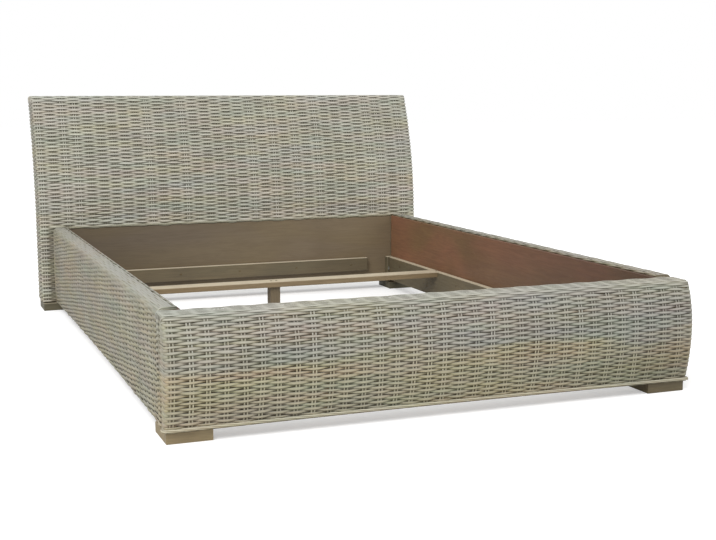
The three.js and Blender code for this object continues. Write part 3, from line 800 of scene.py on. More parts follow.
headShift = headShift[headCounts % head["stakes"]] * headPitch
fromFront = np.abs((headCounts + head["stakes"] // 2) % head["stakes"] - head["stakes"] // 2)
headShift += head["stakeShift"] * np.clip((head["stakes"] / 4 - fromFront) / 2, -1, 1)
headPlaces = headCounts * headPitch + headShift
cornerRuns = [(headFlat, headTurned)]
cornerRuns += [(2 * quarter - b, 2 * quarter - a) for a, b in cornerRuns]
cornerRuns += [(4 * quarter - b, 4 * quarter - a) for a, b in cornerRuns[::-1]]


# A loop measured from the middle of the front, to the right first, and round the back
def headLoop(run, front):
    back = (run > quarter) & (run < 3 * quarter)
    local = np.where(back, 2 * quarter - run, np.where(run >= 3 * quarter, run - 4 * quarter, run))
    place, drop, turned, straight = endWrap(local, form["headHalf"], form["cornerRound"])
    y, z, outY, outZ = onProfile(headSide, front)
    straight = straight * np.where(back, -1.0, 1.0)
    points = pointsOf(place, y + np.where(back, form["headDepth"] - drop, drop), z)
    return points, unit(pointsOf(turned, outY * straight, outZ * straight))


# Distance round the loop counted in stakes, also before the middle of the front
def headTurns(run):
    before = np.interp(run + 4 * quarter, headPlaces, headCounts) - head["stakes"]
    return np.where(run < 0, before, np.interp(run, headPlaces, headCounts))


# Distance along the side view at which a height is reached, up the front or, from the other end, up the back
def runAtHeight(z, back=False):
    points, run = headSide["points"], headSide["run"]
    if back:
        points, run = points[::-1], run[-1] - run[::-1]
    count = int(np.argmax(points[:, 1] > head["loopTop"])) + 1
    return np.interp(z, points[:count, 1], run[:count])


loopEnd, windowRun = runAtHeight(head["loopTop"]), runAtHeight(form["railTop"])
backEnd = headSide["run"][-1] - runAtHeight(head["loopTop"], True)
loopRows = int(round(loopEnd / head["row"]))
headRow = loopEnd / loopRows


# Relief near the corners is less by a share that eases in towards the edge
def headRelief(place):
    start, end = head["cornerEase"]
    return 1 - head["cornerCalm"] * eased(np.abs(place), form["headHalf"] - start, form["headHalf"] - end)


# Rows round the headboard. In front, the strip of each wing beside a side rail is in its shade, and so are
# the faces that look sideways.
def headStrands(rows, low, high, closed):
    run = samples(low, high, headPitch, [c for c in cornerRuns if c[0] > low and c[1] < high], cut=not closed)
    run = run[:-1] if closed else run
    turns = headTurns(run)[None]
    loop = head["stakes"] if closed else 0
    levels = rowLevels(rows, run, 0, headRow, stray=True)
    levels = np.clip(levels + uneven(len(rows), turns, loop) * weave["stray"], weave["margin"], loopEnd)
    points, normals = headLoop(np.broadcast_to(run, levels.shape), levels)
    past = np.abs(points[..., 0]) - form["railOuter"]
    wing = (points[..., 1] < form["headFront"] + head["wingDepth"]) & (points[..., 2] < form["railShellTop"])
    lit = head["wingTone"] + (1 - head["wingTone"]) * eased(past, *head["wingEase"])
    shade = np.where(wing, lit, 1.0)
    shade = shade * (1 - head["endShade"] * eased(np.abs(normals[..., 0]), *head["endTurn"]))
    relief = headRelief(points[..., 0])
    return strands(points, normals, turns, rows, headRow, run, relief, shade, closed, loop)


# Rows up to the rail tops leave the well free, and the rest run right round
def headWeave():
    windowRows = int(np.floor(windowRun / headRow - head["windowSpare"]))
    edge = form["wellHalf"] + head["windowSide"]
    lower = headStrands(np.arange(windowRows), edge, 4 * quarter - edge, False)
    middle = windowRows + (loopRows - windowRows) // 2
    makePiece("headboard_weave_lower", [lower], caneHead, ["headboard_weave"])
    for part, rows in (("middle", np.arange(windowRows, middle)), ("upper", np.arange(middle, loopRows))):
        makePiece(f"headboard_weave_{part}", [headStrands(rows, 0, 4 * quarter, True)], caneHead)

    # Rows over the top, an odd number so that the weave still alternates down the back
    count = int(round((backEnd - loopEnd) / head["row"] / 2) * 2 + 1)
    rowSize = (backEnd - loopEnd) / count
    rows = np.arange(count)
    reach = headTurned + head["dive"]
    run = samples(-reach, reach, headPitch, wrapCorners(headTurned))
    points, normals = wrappedOver(headSide, run, form["headHalf"], rowLevels(rows, run, loopEnd, rowSize))
    crown = strands(points, normals, headTurns(run)[None], rows + loopRows, rowSize, run,
                    headRelief(run) * head["crownRelief"])
    makePiece("headboard_weave_crown", [crown], caneHead)


# Stakes up the front, over the top and down the back, and up the sides. Over the well they start above it.
def headStakes():
    pairs = []
    end, beside = headSide["run"][-1] - weave["edge"], form["wellHalf"] + head["windowStake"][0]
    over = np.concatenate([np.linspace(weave["edge"], windowRun, 5)[:-1], np.linspace(windowRun, end, 70)])
    levels = np.linspace(weave["edge"], runAtHeight(form["headTop"] - head["sideStakeTop"]), 24)
    for place in headPlaces[1:-2]:
        signed = place if place < 2 * quarter else place - 4 * quarter
        if np.abs(signed) < headFlat:
            low = windowRun + head["windowStake"][1] if np.abs(signed) < beside else weave["edge"]
            line = np.concatenate([[low], over[over > low + head["firstStep"]]])
            # Each front stake's lift paints it lit or shaded by chance; stakes up the sides are painted shaded
            pale = head["paleLift"] if scatter.random() < head["paleStakes"] else head["darkLift"]
            pairs.append(rods(*overProfile(headSide, signed + stakePair, line), pale, depth=head["rodDepth"]))
        elif np.abs(signed) < 2 * quarter - headFlat:
            pairs.append(rods(*headLoop(place + stakePair, levels), head["sideLift"], depth=head["rodDepth"]))
    makePiece("headboard_stakes", pairs, caneHead)


# Sheets behind the loops, behind the rows beside the well, and behind the rows over the top
def headBacking():
    around = samples(0, 4 * quarter, headPitch * 3, cornerRuns, cut=False)[:-1]
    heights = np.linspace(windowRun + weave["edge"], loopEnd + head["sheetLap"], 30)
    sheets = [backing(*headLoop(around, heights[:, None]), closed=True)]
    edge = form["wellHalf"] + weave["margin"]
    around = samples(edge, 4 * quarter - edge, headPitch * 3, cornerRuns, cut=False)
    heights = np.linspace(weave["margin"], windowRun + weave["edge"], 5)
    sheets.append(backing(*headLoop(around, heights[:, None])))
    across = np.linspace(-1, 1, 9) * (form["headHalf"] - head["sheetInset"])
    levels = np.linspace(loopEnd + head["sheetLap"], backEnd - head["sheetLap"], 22)
    sheets.append(backing(*overProfile(headSide, across, levels[:, None])))
    makePiece("headboard_backing", sheets, backingShade, smooth=False)


headWeave()
headStakes()
headBacking()
print("headboard woven")


# Footboard: rows wrap back round both ends, and rows over the shoulder and top turn down at the ends

foot = {
    "row": 0.0071,
    "stakePitch": 0.0470,
    "stakeShift": -0.0165,
    "endStakes": (0.004, 0.060, 0.092),     # distances past the corner
    "endRoom": 0.012,
    "dive": 0.012,
    "endGap": 0.0012,
    "lastStep": 0.03,           # share of an end stretch between its last two samples
    "topGap": 0.0008,
    "lastRoom": 0.42,           # the last row's middle stays this share of a row inside the top
    "endStakeTop": 0.012,
    "boardGap": 0.004,
    "endCalm": 0.7,
    "endEase": (-0.022, -0.008),
    "endFill": 0.05,
    "endEven": 0.8,
    "topCalm": 0.7,
    "topEase": (-0.008, 0.010),
    "topTone": 0.95,
    "topWander": 0.6,
    "shoulder": 0.62,           # share of the shoulder's rise below which the front rows end
    "rodDepth": 0.0031,
    "rodLifts": (0.5, 1.4),
    "lean": 0.004,
    "leanRate": 4,
    "leanShift": 9,
    "core": 0.0066,             # a flat rib between the two rods of a stake
    "coreThick": 0.0012,
    "coreDepth": 0.0056,
    "coreLift": 0.3,
    "seam": 0.043,              # dark joint on each end, measured from the back
    "seamWidth": 0.005,
    "seamShade": 0.95,
    "seamEase": (-0.009, 0.0),
    "cornerShade": 0.5,
    "lowShade": 0.5,            # the lower right of the front lies in shade
    "lowRight": (0.30, 0.75),
    "lowBand": (-0.17, -0.07),
    "cornerRods": ((0.0090, 0.0044), (0.0058, 0.0058)),     # inset from the end, depth
    "cornerRod": 0.0044,
    "backRod": 0.0040,
    "backInset": 0.0045,
    "cornerSheet": 0.0026,
    "sheetInset": 0.0075,
    "sheetNear": 0.0078,
}
footSide = footProfile()
rising = slice(0, -12)
shoulderHeight = form["railTop"] - form["footShoulder"] * foot["shoulder"]
shoulderRun = np.interp(shoulderHeight, footSide["points"][rising, 1], footSide["run"][rising])
capEnd = footSide["run"][-1] - foot["topGap"]
footRows = int(round(shoulderRun / foot["row"]))
footFlat = form["footHalf"] - form["cornerRound"]
footTurned = footFlat + form["cornerRound"] * np.pi / 2
footPlaces = stakeRow(-form["footHalf"] - foot["stakeShift"], form["footHalf"] - foot["stakeShift"],
                      foot["stakePitch"])[0] + foot["stakeShift"]
wrapped = footTurned + np.array(foot["endStakes"])
footPlaces = np.concatenate([-wrapped[wrapped > foot["endRoom"] - footPlaces[0]][::-1], footPlaces,
                             wrapped[wrapped > foot["endRoom"] + footPlaces[-1]]])


# The footboard's share of the bow along the lower edge
def footBend(points):
    return bowed(points, 0, 0, form["footHalf"], form["footBow"])


# Points and outward directions over the footboard, with its bow
def overFoot(across, run):
    points, normals = overProfile(footSide, across, run)
    return footBend(points), normals


# Distance along a row counted in stakes
def footTurns(run):
    return stakeTurns(run, footPlaces, np.arange(len(footPlaces)), foot["stakePitch"])


# Front rows, whose end stretches are as long as the footboard is deep at that height. A dark joint crosses
# each end by a bell curve, and the corner and the lower right lie in shade.
def footFront():
    rowSize = shoulderRun / footRows
    rows = np.arange(footRows)
    centre = samples(-footTurned, footTurned, foot["stakePitch"], wrapCorners(footTurned), cut=False)
    share = np.concatenate([np.linspace(0, 1, 15)[1:-1], [1 - foot["lastStep"], 1]])
    heights = onProfile(footSide, (rows + 0.5) * rowSize)[1]
    depth = (bulgeAt(heights) - form["cornerRound"] - foot["endGap"])[:, None]
    centre = np.broadcast_to(centre, (footRows, len(centre)))
    run = np.concatenate([-(footTurned + depth * share[::-1]), centre, footTurned + depth * share], 1)
    levels = rowLevels(rows, run, 0, rowSize, stray=True)
    levels = np.clip(levels + uneven(footRows, footTurns(run)) * weave["stray"], weave["margin"], None)
    place, drop, turned, straight = endWrap(run, form["footHalf"], form["cornerRound"])
    y, z, outY, outZ = onProfile(footSide, levels)
    points = pointsOf(place, y + drop, z)
    normals = unit(pointsOf(turned, outY * straight, outZ * straight))
    beyond = y + drop - form["footBack"] + foot["seam"]
    corner = eased(np.abs(run) - footTurned, *foot["endEase"]) * (1 - eased(beyond, *foot["seamEase"]))
    joint = foot["seamShade"] * np.exp(-(beyond / foot["seamWidth"]) ** 2)
    lowRight = eased(run, *foot["lowRight"]) * eased(-levels, *foot["lowBand"])
    shade = (1 - foot["cornerShade"] * corner) * (1 - joint) * (1 - foot["lowShade"] * lowRight)
    relief = 1 - foot["endCalm"] * corner
    return strands(footBend(points), normals, footTurns(run), rows, rowSize, run, relief, shade,
                   fill=weave["fill"] + foot["endFill"] * corner, even=foot["endEven"] * corner)


# Shoulder and top rows, calmer than the front
def footCaps():
    count = int(round((capEnd - shoulderRun) / foot["row"]))
    size = (capEnd - shoulderRun) / count
    rows = np.arange(count)
    reach = footTurned + foot["dive"]
    run = samples(-reach, reach, foot["stakePitch"], wrapCorners(footTurned))
    levels = rowLevels(rows, run, shoulderRun, size, foot["topWander"])
    levels = np.minimum(levels, capEnd - size * foot["lastRoom"])
    points, normals = wrappedOver(footSide, run, form["footHalf"], levels)
    relief = 1 - foot["topCalm"] * eased(levels - shoulderRun, *foot["topEase"])
    return strands(points, normals, footTurns(run)[None], rows + footRows, size, run, relief,
                   tone=foot["topTone"])


# Stakes up the front and over the top, leaning by a sine of the height, rods along the corners and the back
# of the top, and stakes up both ends
def footStakes():
    pairs = []
    line = np.linspace(weave["edge"], capEnd - weave["margin"], 30)
    for place in footPlaces[np.abs(footPlaces) < footFlat]:
        # Each stake takes a chance lift, up to a painted highlight
        pale, lean = scatter.uniform(*foot["rodLifts"]), scatter.uniform(-foot["lean"], foot["lean"])
        height = onProfile(footSide, line)[1]
        turn = height / form["railTop"] * foot["leanRate"] + place * foot["leanShift"]
        across = place + stakePair + lean * np.sin(turn)
        pairs.append(rods(*overFoot(across, line), pale, depth=foot["rodDepth"]))
        pairs.append(rods(*overFoot(place, line), foot["coreLift"], foot["core"], foot["coreThick"],
                          foot["coreDepth"]))
    line, stout = np.linspace(weave["edge"], capEnd - weave["margin"], 44), foot["cornerRod"]
    for inset, sunk in foot["cornerRods"]:
        for place in (inset - form["footHalf"], form["footHalf"] - inset):
            pairs.append(rods(*overFoot(place, line), foot["coreLift"], stout, stout, sunk))
    line = pointsOf(np.linspace(-1, 1, 60) * footFlat, form["footBack"] - foot["backInset"], form["railTop"])
    pairs.append(rods(line, upward, foot["coreLift"], stout, foot["backRod"], foot["backRod"]))
    heights = np.linspace(form["skirt"] + weave["edge"], form["railTop"] - foot["endStakeTop"], 14)
    for past in (np.array(foot["endStakes"])[:, None] + stakePair.T).ravel():
        y = form["footBack"] - bulgeAt(heights) + form["cornerRound"] + past
        if past < weave["edge"] or y.max() > form["footBack"] - foot["boardGap"]:
            continue
        for sign in (-1, 1):
            pairs.append(rods(pointsOf(sign * form["footHalf"], y, heights), sign * sideways))
    makePiece("footboard_stakes", pairs, caneFoot)


# Sheets behind the front and top, behind both ends, and small curved ones behind the top corners
def footBacking():
    across = np.linspace(-1, 1, 15) * (form["footHalf"] - foot["sheetInset"])
    levels = np.linspace(weave["margin"], capEnd - weave["edge"], 34)
    sheets = [backing(*overFoot(across, levels[:, None]))]
    heights = np.linspace(form["skirt"] + weave["edge"], form["railTop"] - foot["sheetInset"], 12)
    near = (form["footBack"] - bulgeAt(heights) + foot["sheetNear"])[:, None]
    y = near + (form["footBack"] - weave["edge"] - near) * np.linspace(0, 1, 3)
    for sign in (-1, 1):
        sheets.append(backing(pointsOf(sign * form["footHalf"], y, heights[:, None]), sign * sideways))
    line = np.linspace(shoulderRun, capEnd - weave["margin"], 12)[:, None]
    for sign in (-1, 1):
        corner = sign * np.linspace(footFlat, footTurned, 7)
        points, normals = wrappedOver(footSide, corner, form["footHalf"], line)
        sheets.append(backing(points, normals, depth=foot["cornerSheet"]))
    makePiece("footboard_backing", sheets, backingShadePale, smooth=False)


makePiece("footboard_weave_strands", [footFront(), footCaps()], caneFoot, ["footboard_weave"])
footStakes()
footBacking()
print("footboard woven")


# Side rails: rows along the rail, over its top and down its outer face

rail = {
    "row": 0.0072,
    "stakePitch": 0.0515,
    "stakeRoom": 0.012,
    "stakeLift": 1.2,
    "footGap": 0.0010,
    "headGap": 0.0035,
    "edgeInset": 0.0037,        # twisted pair along the inner edge: place, then strands, radius, circle, lay
    "edgeSink": 0.0038,
    "edge": (2, 0.0022, 0.0016, 0.15),
    "firstRow": 0.0108,
    "firstRoom": 0.45,          # the first row's middle stays this share of a row outside it
    "fill": 0.58,
    "even": 0.5,
    "face": (0.045, 0.085),     # over this stretch the top passes into the face
    "topCalm": 0.8,
    "faceCalm": 0.12,
    "footShade": (0.1, 0.003, 0.018),
    "stakeShade": 1.1,
    "binder": 0.0056,           # canes that close the cut ends
    "binderTrim": 0.8,
    "binderReach": 0.06,
    "capPlaces": (0.0, 0.022, 0.05, 0.06),
    "capLift": (0.0, 0.1, 1.6),
    "shadedFootCap": (0.0, 0.0, 0.15),
    "seamLift": 0.1,
    "headLift": 0.7,
    "sheetDepth": 0.0068,
    "overTop": (0.001, 0.0075, 0.018, 0.030),       # samples of a stake: top, shoulder and face
    "overShoulder": (0.034, 0.068),
    "downFace": 0.08,
    "sheetTop": (0.0005, 0.02),                     # and of a sheet
    "sheetShoulder": (0.036, 0.066),
    "sheetFace": 0.1,
}
railSide = railProfile()
railLength = railSide["run"][-1]
railMiddle, railReach = (railLow[1] + railHigh[1]) / 2, (railHigh[1] - railLow[1]) / 2


# The rails' share of the bow along the lower edge
def railBend(points):
    return bowed(points, 1, railMiddle, railReach, form["railBow"])


# Points and outward directions over a rail, at places along it and distances over its top and down its face
def overRail(sign, y, run):
    x, z, outX, outZ = onProfile(railSide, run)
    return railBend(pointsOf(sign * x, y, z)), pointsOf(sign * outX, 0 * y, outZ)


# Rows between the end canes. The top is calm. On the face each stake darkens its crossings by chance, as
# painted shade beside the stakes.
def railStrands(side, sign, low, high, places, count):
    rowCount = int(round((railLength - rail["firstRow"]) / rail["row"]))
    size = (railLength - rail["firstRow"]) / rowCount
    rows = np.arange(rowCount)
    trim = rail["binder"] * rail["binderTrim"]
    run = samples(low - railMiddle + trim, high - railMiddle - trim, rail["stakePitch"])
    turns = stakeTurns(run, places, count, rail["stakePitch"])[None]
    levels = rowLevels(rows, run, rail["firstRow"], size) + uneven(rowCount, turns) * weave["stray"]
    levels = np.clip(levels, rail["firstRow"] + size * rail["firstRoom"], railLength - weave["margin"])
    points, normals = overRail(sign, railMiddle + run, levels)
    onFace = eased(levels, *rail["face"])
    relief = 1 - rail["topCalm"] * (1 - onFace) - rail["faceCalm"] * onFace
    deepest, start, end = rail["footShade"]
    shade = 1 - deepest * onFace * (1 - eased(run - run[0], start, end))
    stakeShade = scatter.uniform(0, 1, len(places)) ** 2 * rail["stakeShade"]
    shade = shade - onFace * np.interp(run, places, stakeShade) * (1 - np.abs(np.sin(np.pi * turns)))
    block = strands(points, normals, turns, rows, size, run, relief, shade, fill=rail["fill"],
                    even=rail["even"] * onFace)
    makePiece(f"side_rail_strands_{side}", [block], caneRail, [f"side_rail_weave_{side}"])


# Stakes across the rail, two stout canes that close each cut end, and a twisted pair along the inner top edge
def railStakes(side, sign, low, high, places):
    line = np.concatenate([rail["overTop"], np.linspace(*rail["overShoulder"], 8),
                           np.linspace(rail["downFace"], railLength - weave["edge"], 8)])
    # Stakes take a high lift: a painted highlight
    pairs = [rods(*overRail(sign, railMiddle + place + stakePair, line[1:]), rail["stakeLift"])
             for place in places]
    binder, upper = rail["binder"], line < rail["binderReach"]
    # The right rail's foot end takes painted shade from the footboard; the tops of the end canes take painted
    # shade too
    footCap = rail["shadedFootCap"] if sign > 0 else rail["capLift"]
    for y, faceLift, capLift in ((low + binder / 2, rail["seamLift"], footCap),
                                 (high - binder / 2, rail["headLift"], rail["capLift"])):
        points, normals = overRail(sign, y, line)
        lift = np.interp(line, rail["capPlaces"], (*capLift, faceLift))
        pairs.append(rods(points, normals, lift, binder, binder, binder / 2, 2))
        pairs.append(rods(points[upper], normals[upper], lift[upper], binder, binder, binder * 1.3, 2))
    y = np.linspace(low + weave["edge"], high - weave["edge"], 200)
    inner, top = form["railShell"] + rail["edgeInset"], form["railShellTop"] - rail["edgeSink"]
    edge = pointsOf(sign * inner, y, top)
    pairs.append(twisted(edge, sideways, *rail["edge"]))
    makePiece(f"side_rail_stakes_{side}", pairs, caneRail)


# A sheet behind the rows, with more of its points where the shoulder bends
def railBacking(side, sign, low, high):
    levels = np.concatenate([rail["sheetTop"], np.linspace(*rail["sheetShoulder"], 7),
                             np.linspace(rail["sheetFace"], railLength - weave["edge"], 7)])
    points, normals = overRail(sign, np.linspace(low, high, 13), levels[:, None])
    makePiece(f"side_rail_backing_{side}", [backing(points, normals, depth=rail["sheetDepth"])], backingShadePale,
              smooth=False)


# One rail from its own chance row of stakes
def buildRail(side, sign):
    low, high = railLow[1] + rail["footGap"], railHigh[1] - rail["headGap"]
    places, count = stakeRow(low - railMiddle + rail["stakeRoom"], high - railMiddle - rail["stakeRoom"],
                             rail["stakePitch"])
    railStrands(side, sign, low, high, places, count)
    railStakes(side, sign, low, high, places)
    railBacking(side, sign, low, high)


for railName, railSign in (("left", -1), ("right", 1)):
    buildRail(railName, railSign)
print("side rails woven")


# Borders: twisted cane under the footboard, over the head panel and along the rails' lower edges. Each twist
# is given as strands, their radius, the circle they run on and the lay.

border = {
    "foot": (3, 0.0025, 0.0021, 0.120),
    "footInset": 0.0046,
    "footWrap": 0.012,
    "footUnder": 0.0048,
    "window": (2, 0.0026, 0.0018, 0.160),
    "windowPlace": (0.0030, 0.0046),        # ahead of the headboard's front, above the rail tops
    "windowUnder": 0.0044,
    "under": 0.0022,                        # width of the dark rod of painted shadow below a twist
    "underLift": 0.02,
    "rail": (2, 0.0017, 0.0015, 0.094),
    "railInset": 0.0032,
    "railRise": 0.003,
    "railLift": 0.04,
}


# A thin dark rod of painted shadow that follows a twist from below
def paintedShadowRod(line, down, back=0.0):
    return rods(line - back * forward - down * upward, upward, border["underLift"], border["under"],
                border["under"], weave["flush"])


# Each border is a line with its twist: round the footboard's corners by the end wrap, straight elsewhere
def buildBorders():
    low, high = np.array(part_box("footboard_braid"))
    across = np.linspace(-1, 1, 320) * (high[0] + border["footWrap"])
    x, inward, turned, straight = endWrap(across, high[0], form["cornerRound"])
    line = footBend(pointsOf(x, low[1] + border["footInset"] + inward, low[2] + border["footInset"]))
    twist = twisted(line, pointsOf(-turned, straight, 0), *border["foot"])
    makePiece("footboard_border", [twist, paintedShadowRod(line[4:-4], border["footUnder"], -0.001)], caneBorder,
              ["footboard_braid"])
    x = np.linspace(-1, 1, 220) * (form["wellHalf"] - weave["margin"])
    ahead, above = border["windowPlace"]
    line = pointsOf(x, form["headFront"] + ahead, form["railTop"] + above)
    blocks = [twisted(line, forward, *border["window"]), paintedShadowRod(line, border["windowUnder"])]
    y = np.linspace(railLow[1] + weave["margin"], railHigh[1] - weave["margin"], 300)
    for sign in (-1, 1):
        outer = sign * (form["railOuter"] - border["railInset"])
        line = pointsOf(outer, y, form["skirt"] + border["railRise"])
        blocks.append(twisted(railBend(line), sideways, *border["rail"]))
        # The twists along the rails' lower edges take a low lift: painted shade under the rails
        blocks[-1]["lift"][:] = border["railLift"]
    makePiece("weave_borders", blocks, caneEdge)


buildBorders()
print("borders laid")


# Fillets: slim strips that close the upright joints between the head panel and the side boards

fillet = {"width": 0.0032, "thick": 0.0034, "back": 0.0022, "bottom": 0.050, "headroom": 0.0008}


# One upright rod in each corner of the well
def buildFillets(material):
    z = np.linspace(fillet["bottom"], form["railTop"] - fillet["headroom"], 12)
    strips = []
    for sign in (-1, 1):
        line = pointsOf(sign * form["wellHalf"], boardHigh[1] + fillet["back"], z)
        strips.append(rods(line, -forward, 1.0, fillet["width"], fillet["thick"], weave["flush"]))
    makePiece("corner_fillets", strips, material)


# Timber, feet and fittings keep their imported solids and take grained finishes. Each timber: name, light, dark
# and stained tone, axis of the grain, figure, blotch, paleness on top from dust and painted light, and slope of
# the painted light fade.

timbers = {
    # The long boards and the head panel are painted in shade towards the foot and towards the left
    "boardAlong": ("board_red_brown_long", (124, 86, 62), (83, 56, 41), (108, 84, 54), 1, 0.6, 0.3, 0.0,
                   (0, 0.40, 0)),
    "boardAcross": ("board_red_brown_cross", (126, 94, 72), (86, 60, 46), (112, 92, 62), 0, 0.6, 0.3),
    "panel": ("panel_grey_brown", (111, 97, 73), (82, 69, 51), (107, 94, 77), 0, 0.5, 0.3, 0.0, (0.4, 0, 0)),
    "ledgerX": ("ledger_long_x", (108, 96, 70), (74, 63, 46), (98, 90, 68), 0, 0.6, 0.35, 1.0),
    "ledgerY": ("ledger_long_y", (108, 96, 70), (74, 63, 46), (98, 90, 68), 1, 0.6, 0.35, 1.0),
    "ledgerZ": ("cleat_long_z", (112, 100, 74), (76, 66, 48), (100, 92, 70), 2, 0.6, 0.35, 1.0),
    # The beam is lighter than the ledgers: painted light, for it catches more of it
    "beam": ("beam_long_x", (140, 122, 92), (96, 80, 56), (134, 114, 82), 0, 0.65, 0.35, 0.9),
    "leg": ("leg_long_z", (112, 98, 74), (78, 66, 48), (104, 94, 68), 2, 0.65, 0.35, 0.3),
    "frameX": ("frame_long_x", (168, 146, 110), (126, 106, 76), (160, 142, 112), 0, 0.6, 0.3),
    "frameZ": ("frame_long_z", (168, 146, 110), (126, 106, 76), (160, 142, 112), 2, 0.6, 0.3),
    "block": ("block_olive_brown", (146, 130, 96), (100, 88, 62), (136, 118, 86), 0, 0.65, 0.4, 0.3),
    "blockShade": ("block_olive_shade", (106, 96, 66), (72, 63, 42), (98, 86, 60), 0, 0.65, 0.4, 0.3),
    # The feet under the headboard take a darker copy of the block: painted shadow beneath the bed
    "blockShadowed": ("block_olive_painted_shadow", (98, 92, 70), (66, 60, 44), (88, 84, 66), 0, 0.6, 0.4, 0.6),
}
finishes = {key: timberMaterial(*row) for key, row in timbers.items()}
# Screw heads take a browned steel, darkened further as painted shade for heads in shadow
for key, *row in (("steel", "zinc_steel", (150, 148, 140), (196, 194, 188)),
                  ("brownedShaded", "browned_steel_painted_shade", (86, 74, 56), (124, 110, 84))):
    finishes[key] = speckMaterial(*row, 220.0, 3.0, 0.6, 0.25, 0.3, 1.0)
finishes["glide"] = speckMaterial("glide_plastic", (28, 27, 25), (44, 42, 39), 160.0, 2.0, 0.5, 0.45, 0.2)
finishOf = [
    ("bed_bolt", "steel"), ("leg_glide", "glide"), ("foot_head", "blockShadowed"),
    ("foot_front_right", "blockShade"), ("foot_front", "block"), ("side_rail_board", "boardAlong"),
    ("footboard_board", "boardAcross"), ("head_panel", "panel"), ("ledger_left", "ledgerY"),
    ("ledger_right", "ledgerY"), ("ledger", "ledgerX"), ("corner_cleat", "ledgerZ"), ("cross_beam", "beam"),
    ("centre_leg", "leg"), ("headboard_post", "frameZ"),
    ("headboard_former", "frameZ"), ("footboard_former", "frameZ"), ("side_rail_rib", "ledgerZ"),
    ("headboard_", "frameX"), ("footboard_", "frameX"), ("side_rail_weave", "frameX"),
]
buildFillets(finishes["panel"])
for nodeName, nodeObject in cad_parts.items():
    key = next(finish for start, finish in finishOf if nodeName.startswith(start))
    nodeObject.data.materials.clear()
    nodeObject.data.materials.append(finishes[key])
print("finishes set")


# Screws that fix ledgers, beams and legs: round heads with a crossed slot

screw = {
    "radius": 0.0042,
    "rings": (1.0, 0.98, 0.86, 0.64, 0.60, 0.36, 0.14, 0.02),
    "height": 0.0013,
    "domeDrop": 0.45,
    "slot": 0.0011,
    "slotHalf": 0.00055,
    "slotReach": 0.0026,
    "sideEnd": 0.12,            # first screw of a side ledger, and the heights between which they alternate
    "sideHeights": (0.072, 0.030),
    "crossEnd": 0.08,
    "beamEnd": 0.012,
    "legHalf": 0.011,
}


# Heads as height fields on rings: a low dome, less the slot wherever a point lies within its arms
def screwHeads(places):
    turn = np.arange(24) * np.pi / 12 + np.pi / 24
    reach = np.array(screw["rings"])[:, None] * screw["radius"]
    a, b = reach * np.cos(turn), reach * np.sin(turn)
    dome = screw["height"] * (1 - screw["domeDrop"] * (reach / screw["radius"]) ** 2) + 0 * a
    cross = (np.minimum(np.abs(a), np.abs(b)) < screw["slotHalf"]) & (reach < screw["slotReach"])
    rise = dome - np.where(cross, screw["slot"], 0)
    rise[0] = 0
    shrink = screw["rings"][-1]
    rings = np.concatenate([pointsOf(shrink * a[:1], shrink * b[:1], 0), pointsOf(a, b, rise)])
    quads = ringQuads(1, len(rings), len(turn), False)
    blocks = []
    for place, outward in places:
        outward = np.array(outward, float)
        side = unit(np.cross(outward, [0.3, 0.5, 0.8]))
        points = rings.reshape(-1, 3) @ np.stack([side, np.cross(outward, side), outward]) + place
        blocks.append({"points": points, "quads": quads})
    return blocks


# Seven screws in each side ledger, five in each cross ledger, two over each end and over the leg of each beam
def buildScrews():
    places = []
    for side, sign in (("left", -1), ("right", 1)):
        low, high = np.array(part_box(f"ledger_{side}"))
        face = high[0] if sign < 0 else low[0]
        for i, y in enumerate(np.linspace(low[1] + screw["sideEnd"], high[1] - screw["sideEnd"], 7)):
            places.append(((face, y, low[2] + screw["sideHeights"][i % 2]), (-sign, 0, 0)))
    for end, sign in (("head", 1), ("foot", -1)):
        low, high = np.array(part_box(f"ledger_{end}"))
        face = low[1] if sign > 0 else high[1]
        for x in np.linspace(low[0] + screw["crossEnd"], high[0] - screw["crossEnd"], 5):
            places.append(((x, face, (low[2] + high[2]) / 2), (0, -sign, 0)))
        low, high = np.array(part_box(f"cross_beam_{end}"))
        for x in (low[0] + screw["beamEnd"], -screw["legHalf"], screw["legHalf"], high[0] - screw["beamEnd"]):
            places.append(((x, (low[1] + high[1]) / 2, high[2]), (0, 0, 1)))
    makePiece("screw_heads", screwHeads(places), finishes["brownedShaded"])


buildScrews()
print("screws set")


# Floor and light

studio = {"floor": 30.0, "floorTone": 0.86, "floorLift": 0.34, "world": 0.8, "key": 1000.0, "fill": 200.0}


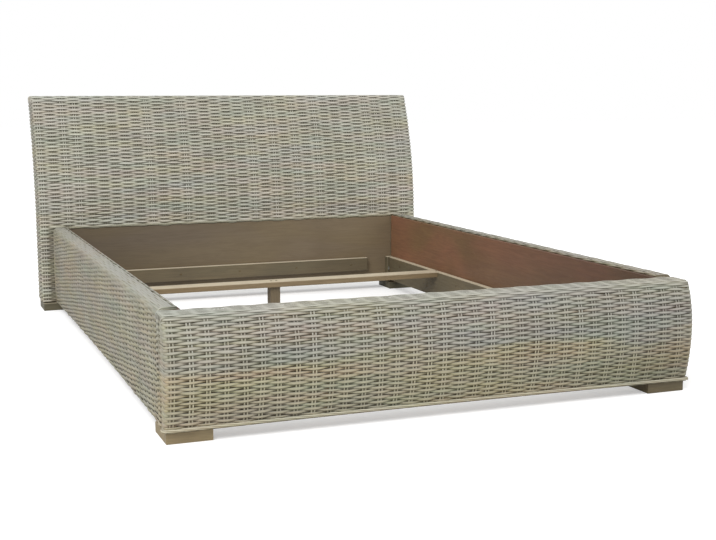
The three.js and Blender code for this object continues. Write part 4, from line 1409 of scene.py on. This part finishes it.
# A wide pale square: a matt surface, to which the camera alone sees some glow added
def addFloor():
    size = studio["floor"]
    mesh = bpy.data.meshes.new("floor")
    corners = [(-size, -size, 0), (size, -size, 0), (size, size, 0), (-size, size, 0)]
    mesh.from_pydata(corners, [], [(0, 1, 2, 3)])
    material = bpy.data.materials.new("floor_pale")
    material.use_nodes = True
    tree = material.node_tree
    tree.nodes.clear()
    rays = put(tree, "ShaderNodeLightPath").outputs
    diffuse = put(tree, "ShaderNodeBsdfDiffuse", {"Color": (studio["floorTone"],) * 3 + (1,)})
    glow = put(tree, "ShaderNodeEmission", {"Strength": studio["floorLift"]})
    both = put(tree, "ShaderNodeAddShader", {0: diffuse.outputs[0], 1: glow.outputs[0]})
    mixed = put(tree, "ShaderNodeMixShader", {0: rays["Is Camera Ray"], 1: diffuse.outputs[0],
                                              2: both.outputs[0]})
    put(tree, "ShaderNodeOutputMaterial", {"Surface": mixed.outputs[0]})
    mesh.materials.append(material)
    floor = bpy.data.objects.new("floor", mesh)
    bpy.context.scene.collection.objects.link(floor)


# White all round: full strength for the camera and for mirrored or passing rays, less as a light
def addWorld():
    world = bpy.data.worlds.new("studio")
    world.use_nodes = True
    tree = world.node_tree
    tree.nodes.clear()
    rays = put(tree, "ShaderNodeLightPath").outputs
    bent = calc(tree, "MAXIMUM", rays["Is Glossy Ray"], rays["Is Transmission Ray"])
    seen = calc(tree, "MAXIMUM", rays["Is Camera Ray"], bent)
    strength = put(tree, "ShaderNodeMix", {0: seen, 2: studio["world"], 3: 1.0}).outputs[0]
    back = put(tree, "ShaderNodeBackground", {"Color": (1, 1, 1, 1), "Strength": strength})
    put(tree, "ShaderNodeOutputWorld", {"Surface": back.outputs[0]})
    bpy.context.scene.world = world


# A square lamp that looks from its place to its aim: its third axis is the direction turned back
def addLamp(name, place, aim, size, power):
    data = bpy.data.lights.new(name, "AREA")
    data.shape, data.size, data.energy = "SQUARE", size, power
    lamp = bpy.data.objects.new(name, data)
    direction = unit(np.array(aim, float) - np.array(place, float))
    side = unit(np.cross(direction, upward))
    turned = Matrix(np.stack([side, np.cross(side, direction), -direction], 1).tolist()).to_4x4()
    lamp.matrix_world = Matrix.Translation(place) @ turned
    bpy.context.scene.collection.objects.link(lamp)


addFloor()
addWorld()
addLamp("keyLamp", (-6.4, -7.2, 8.8), (0, 0, 0.3), 5.2, studio["key"])
addLamp("fillLamp", (8.4, -5.2, 6.0), (0, 0.2, 0.4), 6.0, studio["fill"])
bpy.context.scene.view_settings.view_transform = "Standard"
print("floor and light set")

bpy.context.view_layer.update()
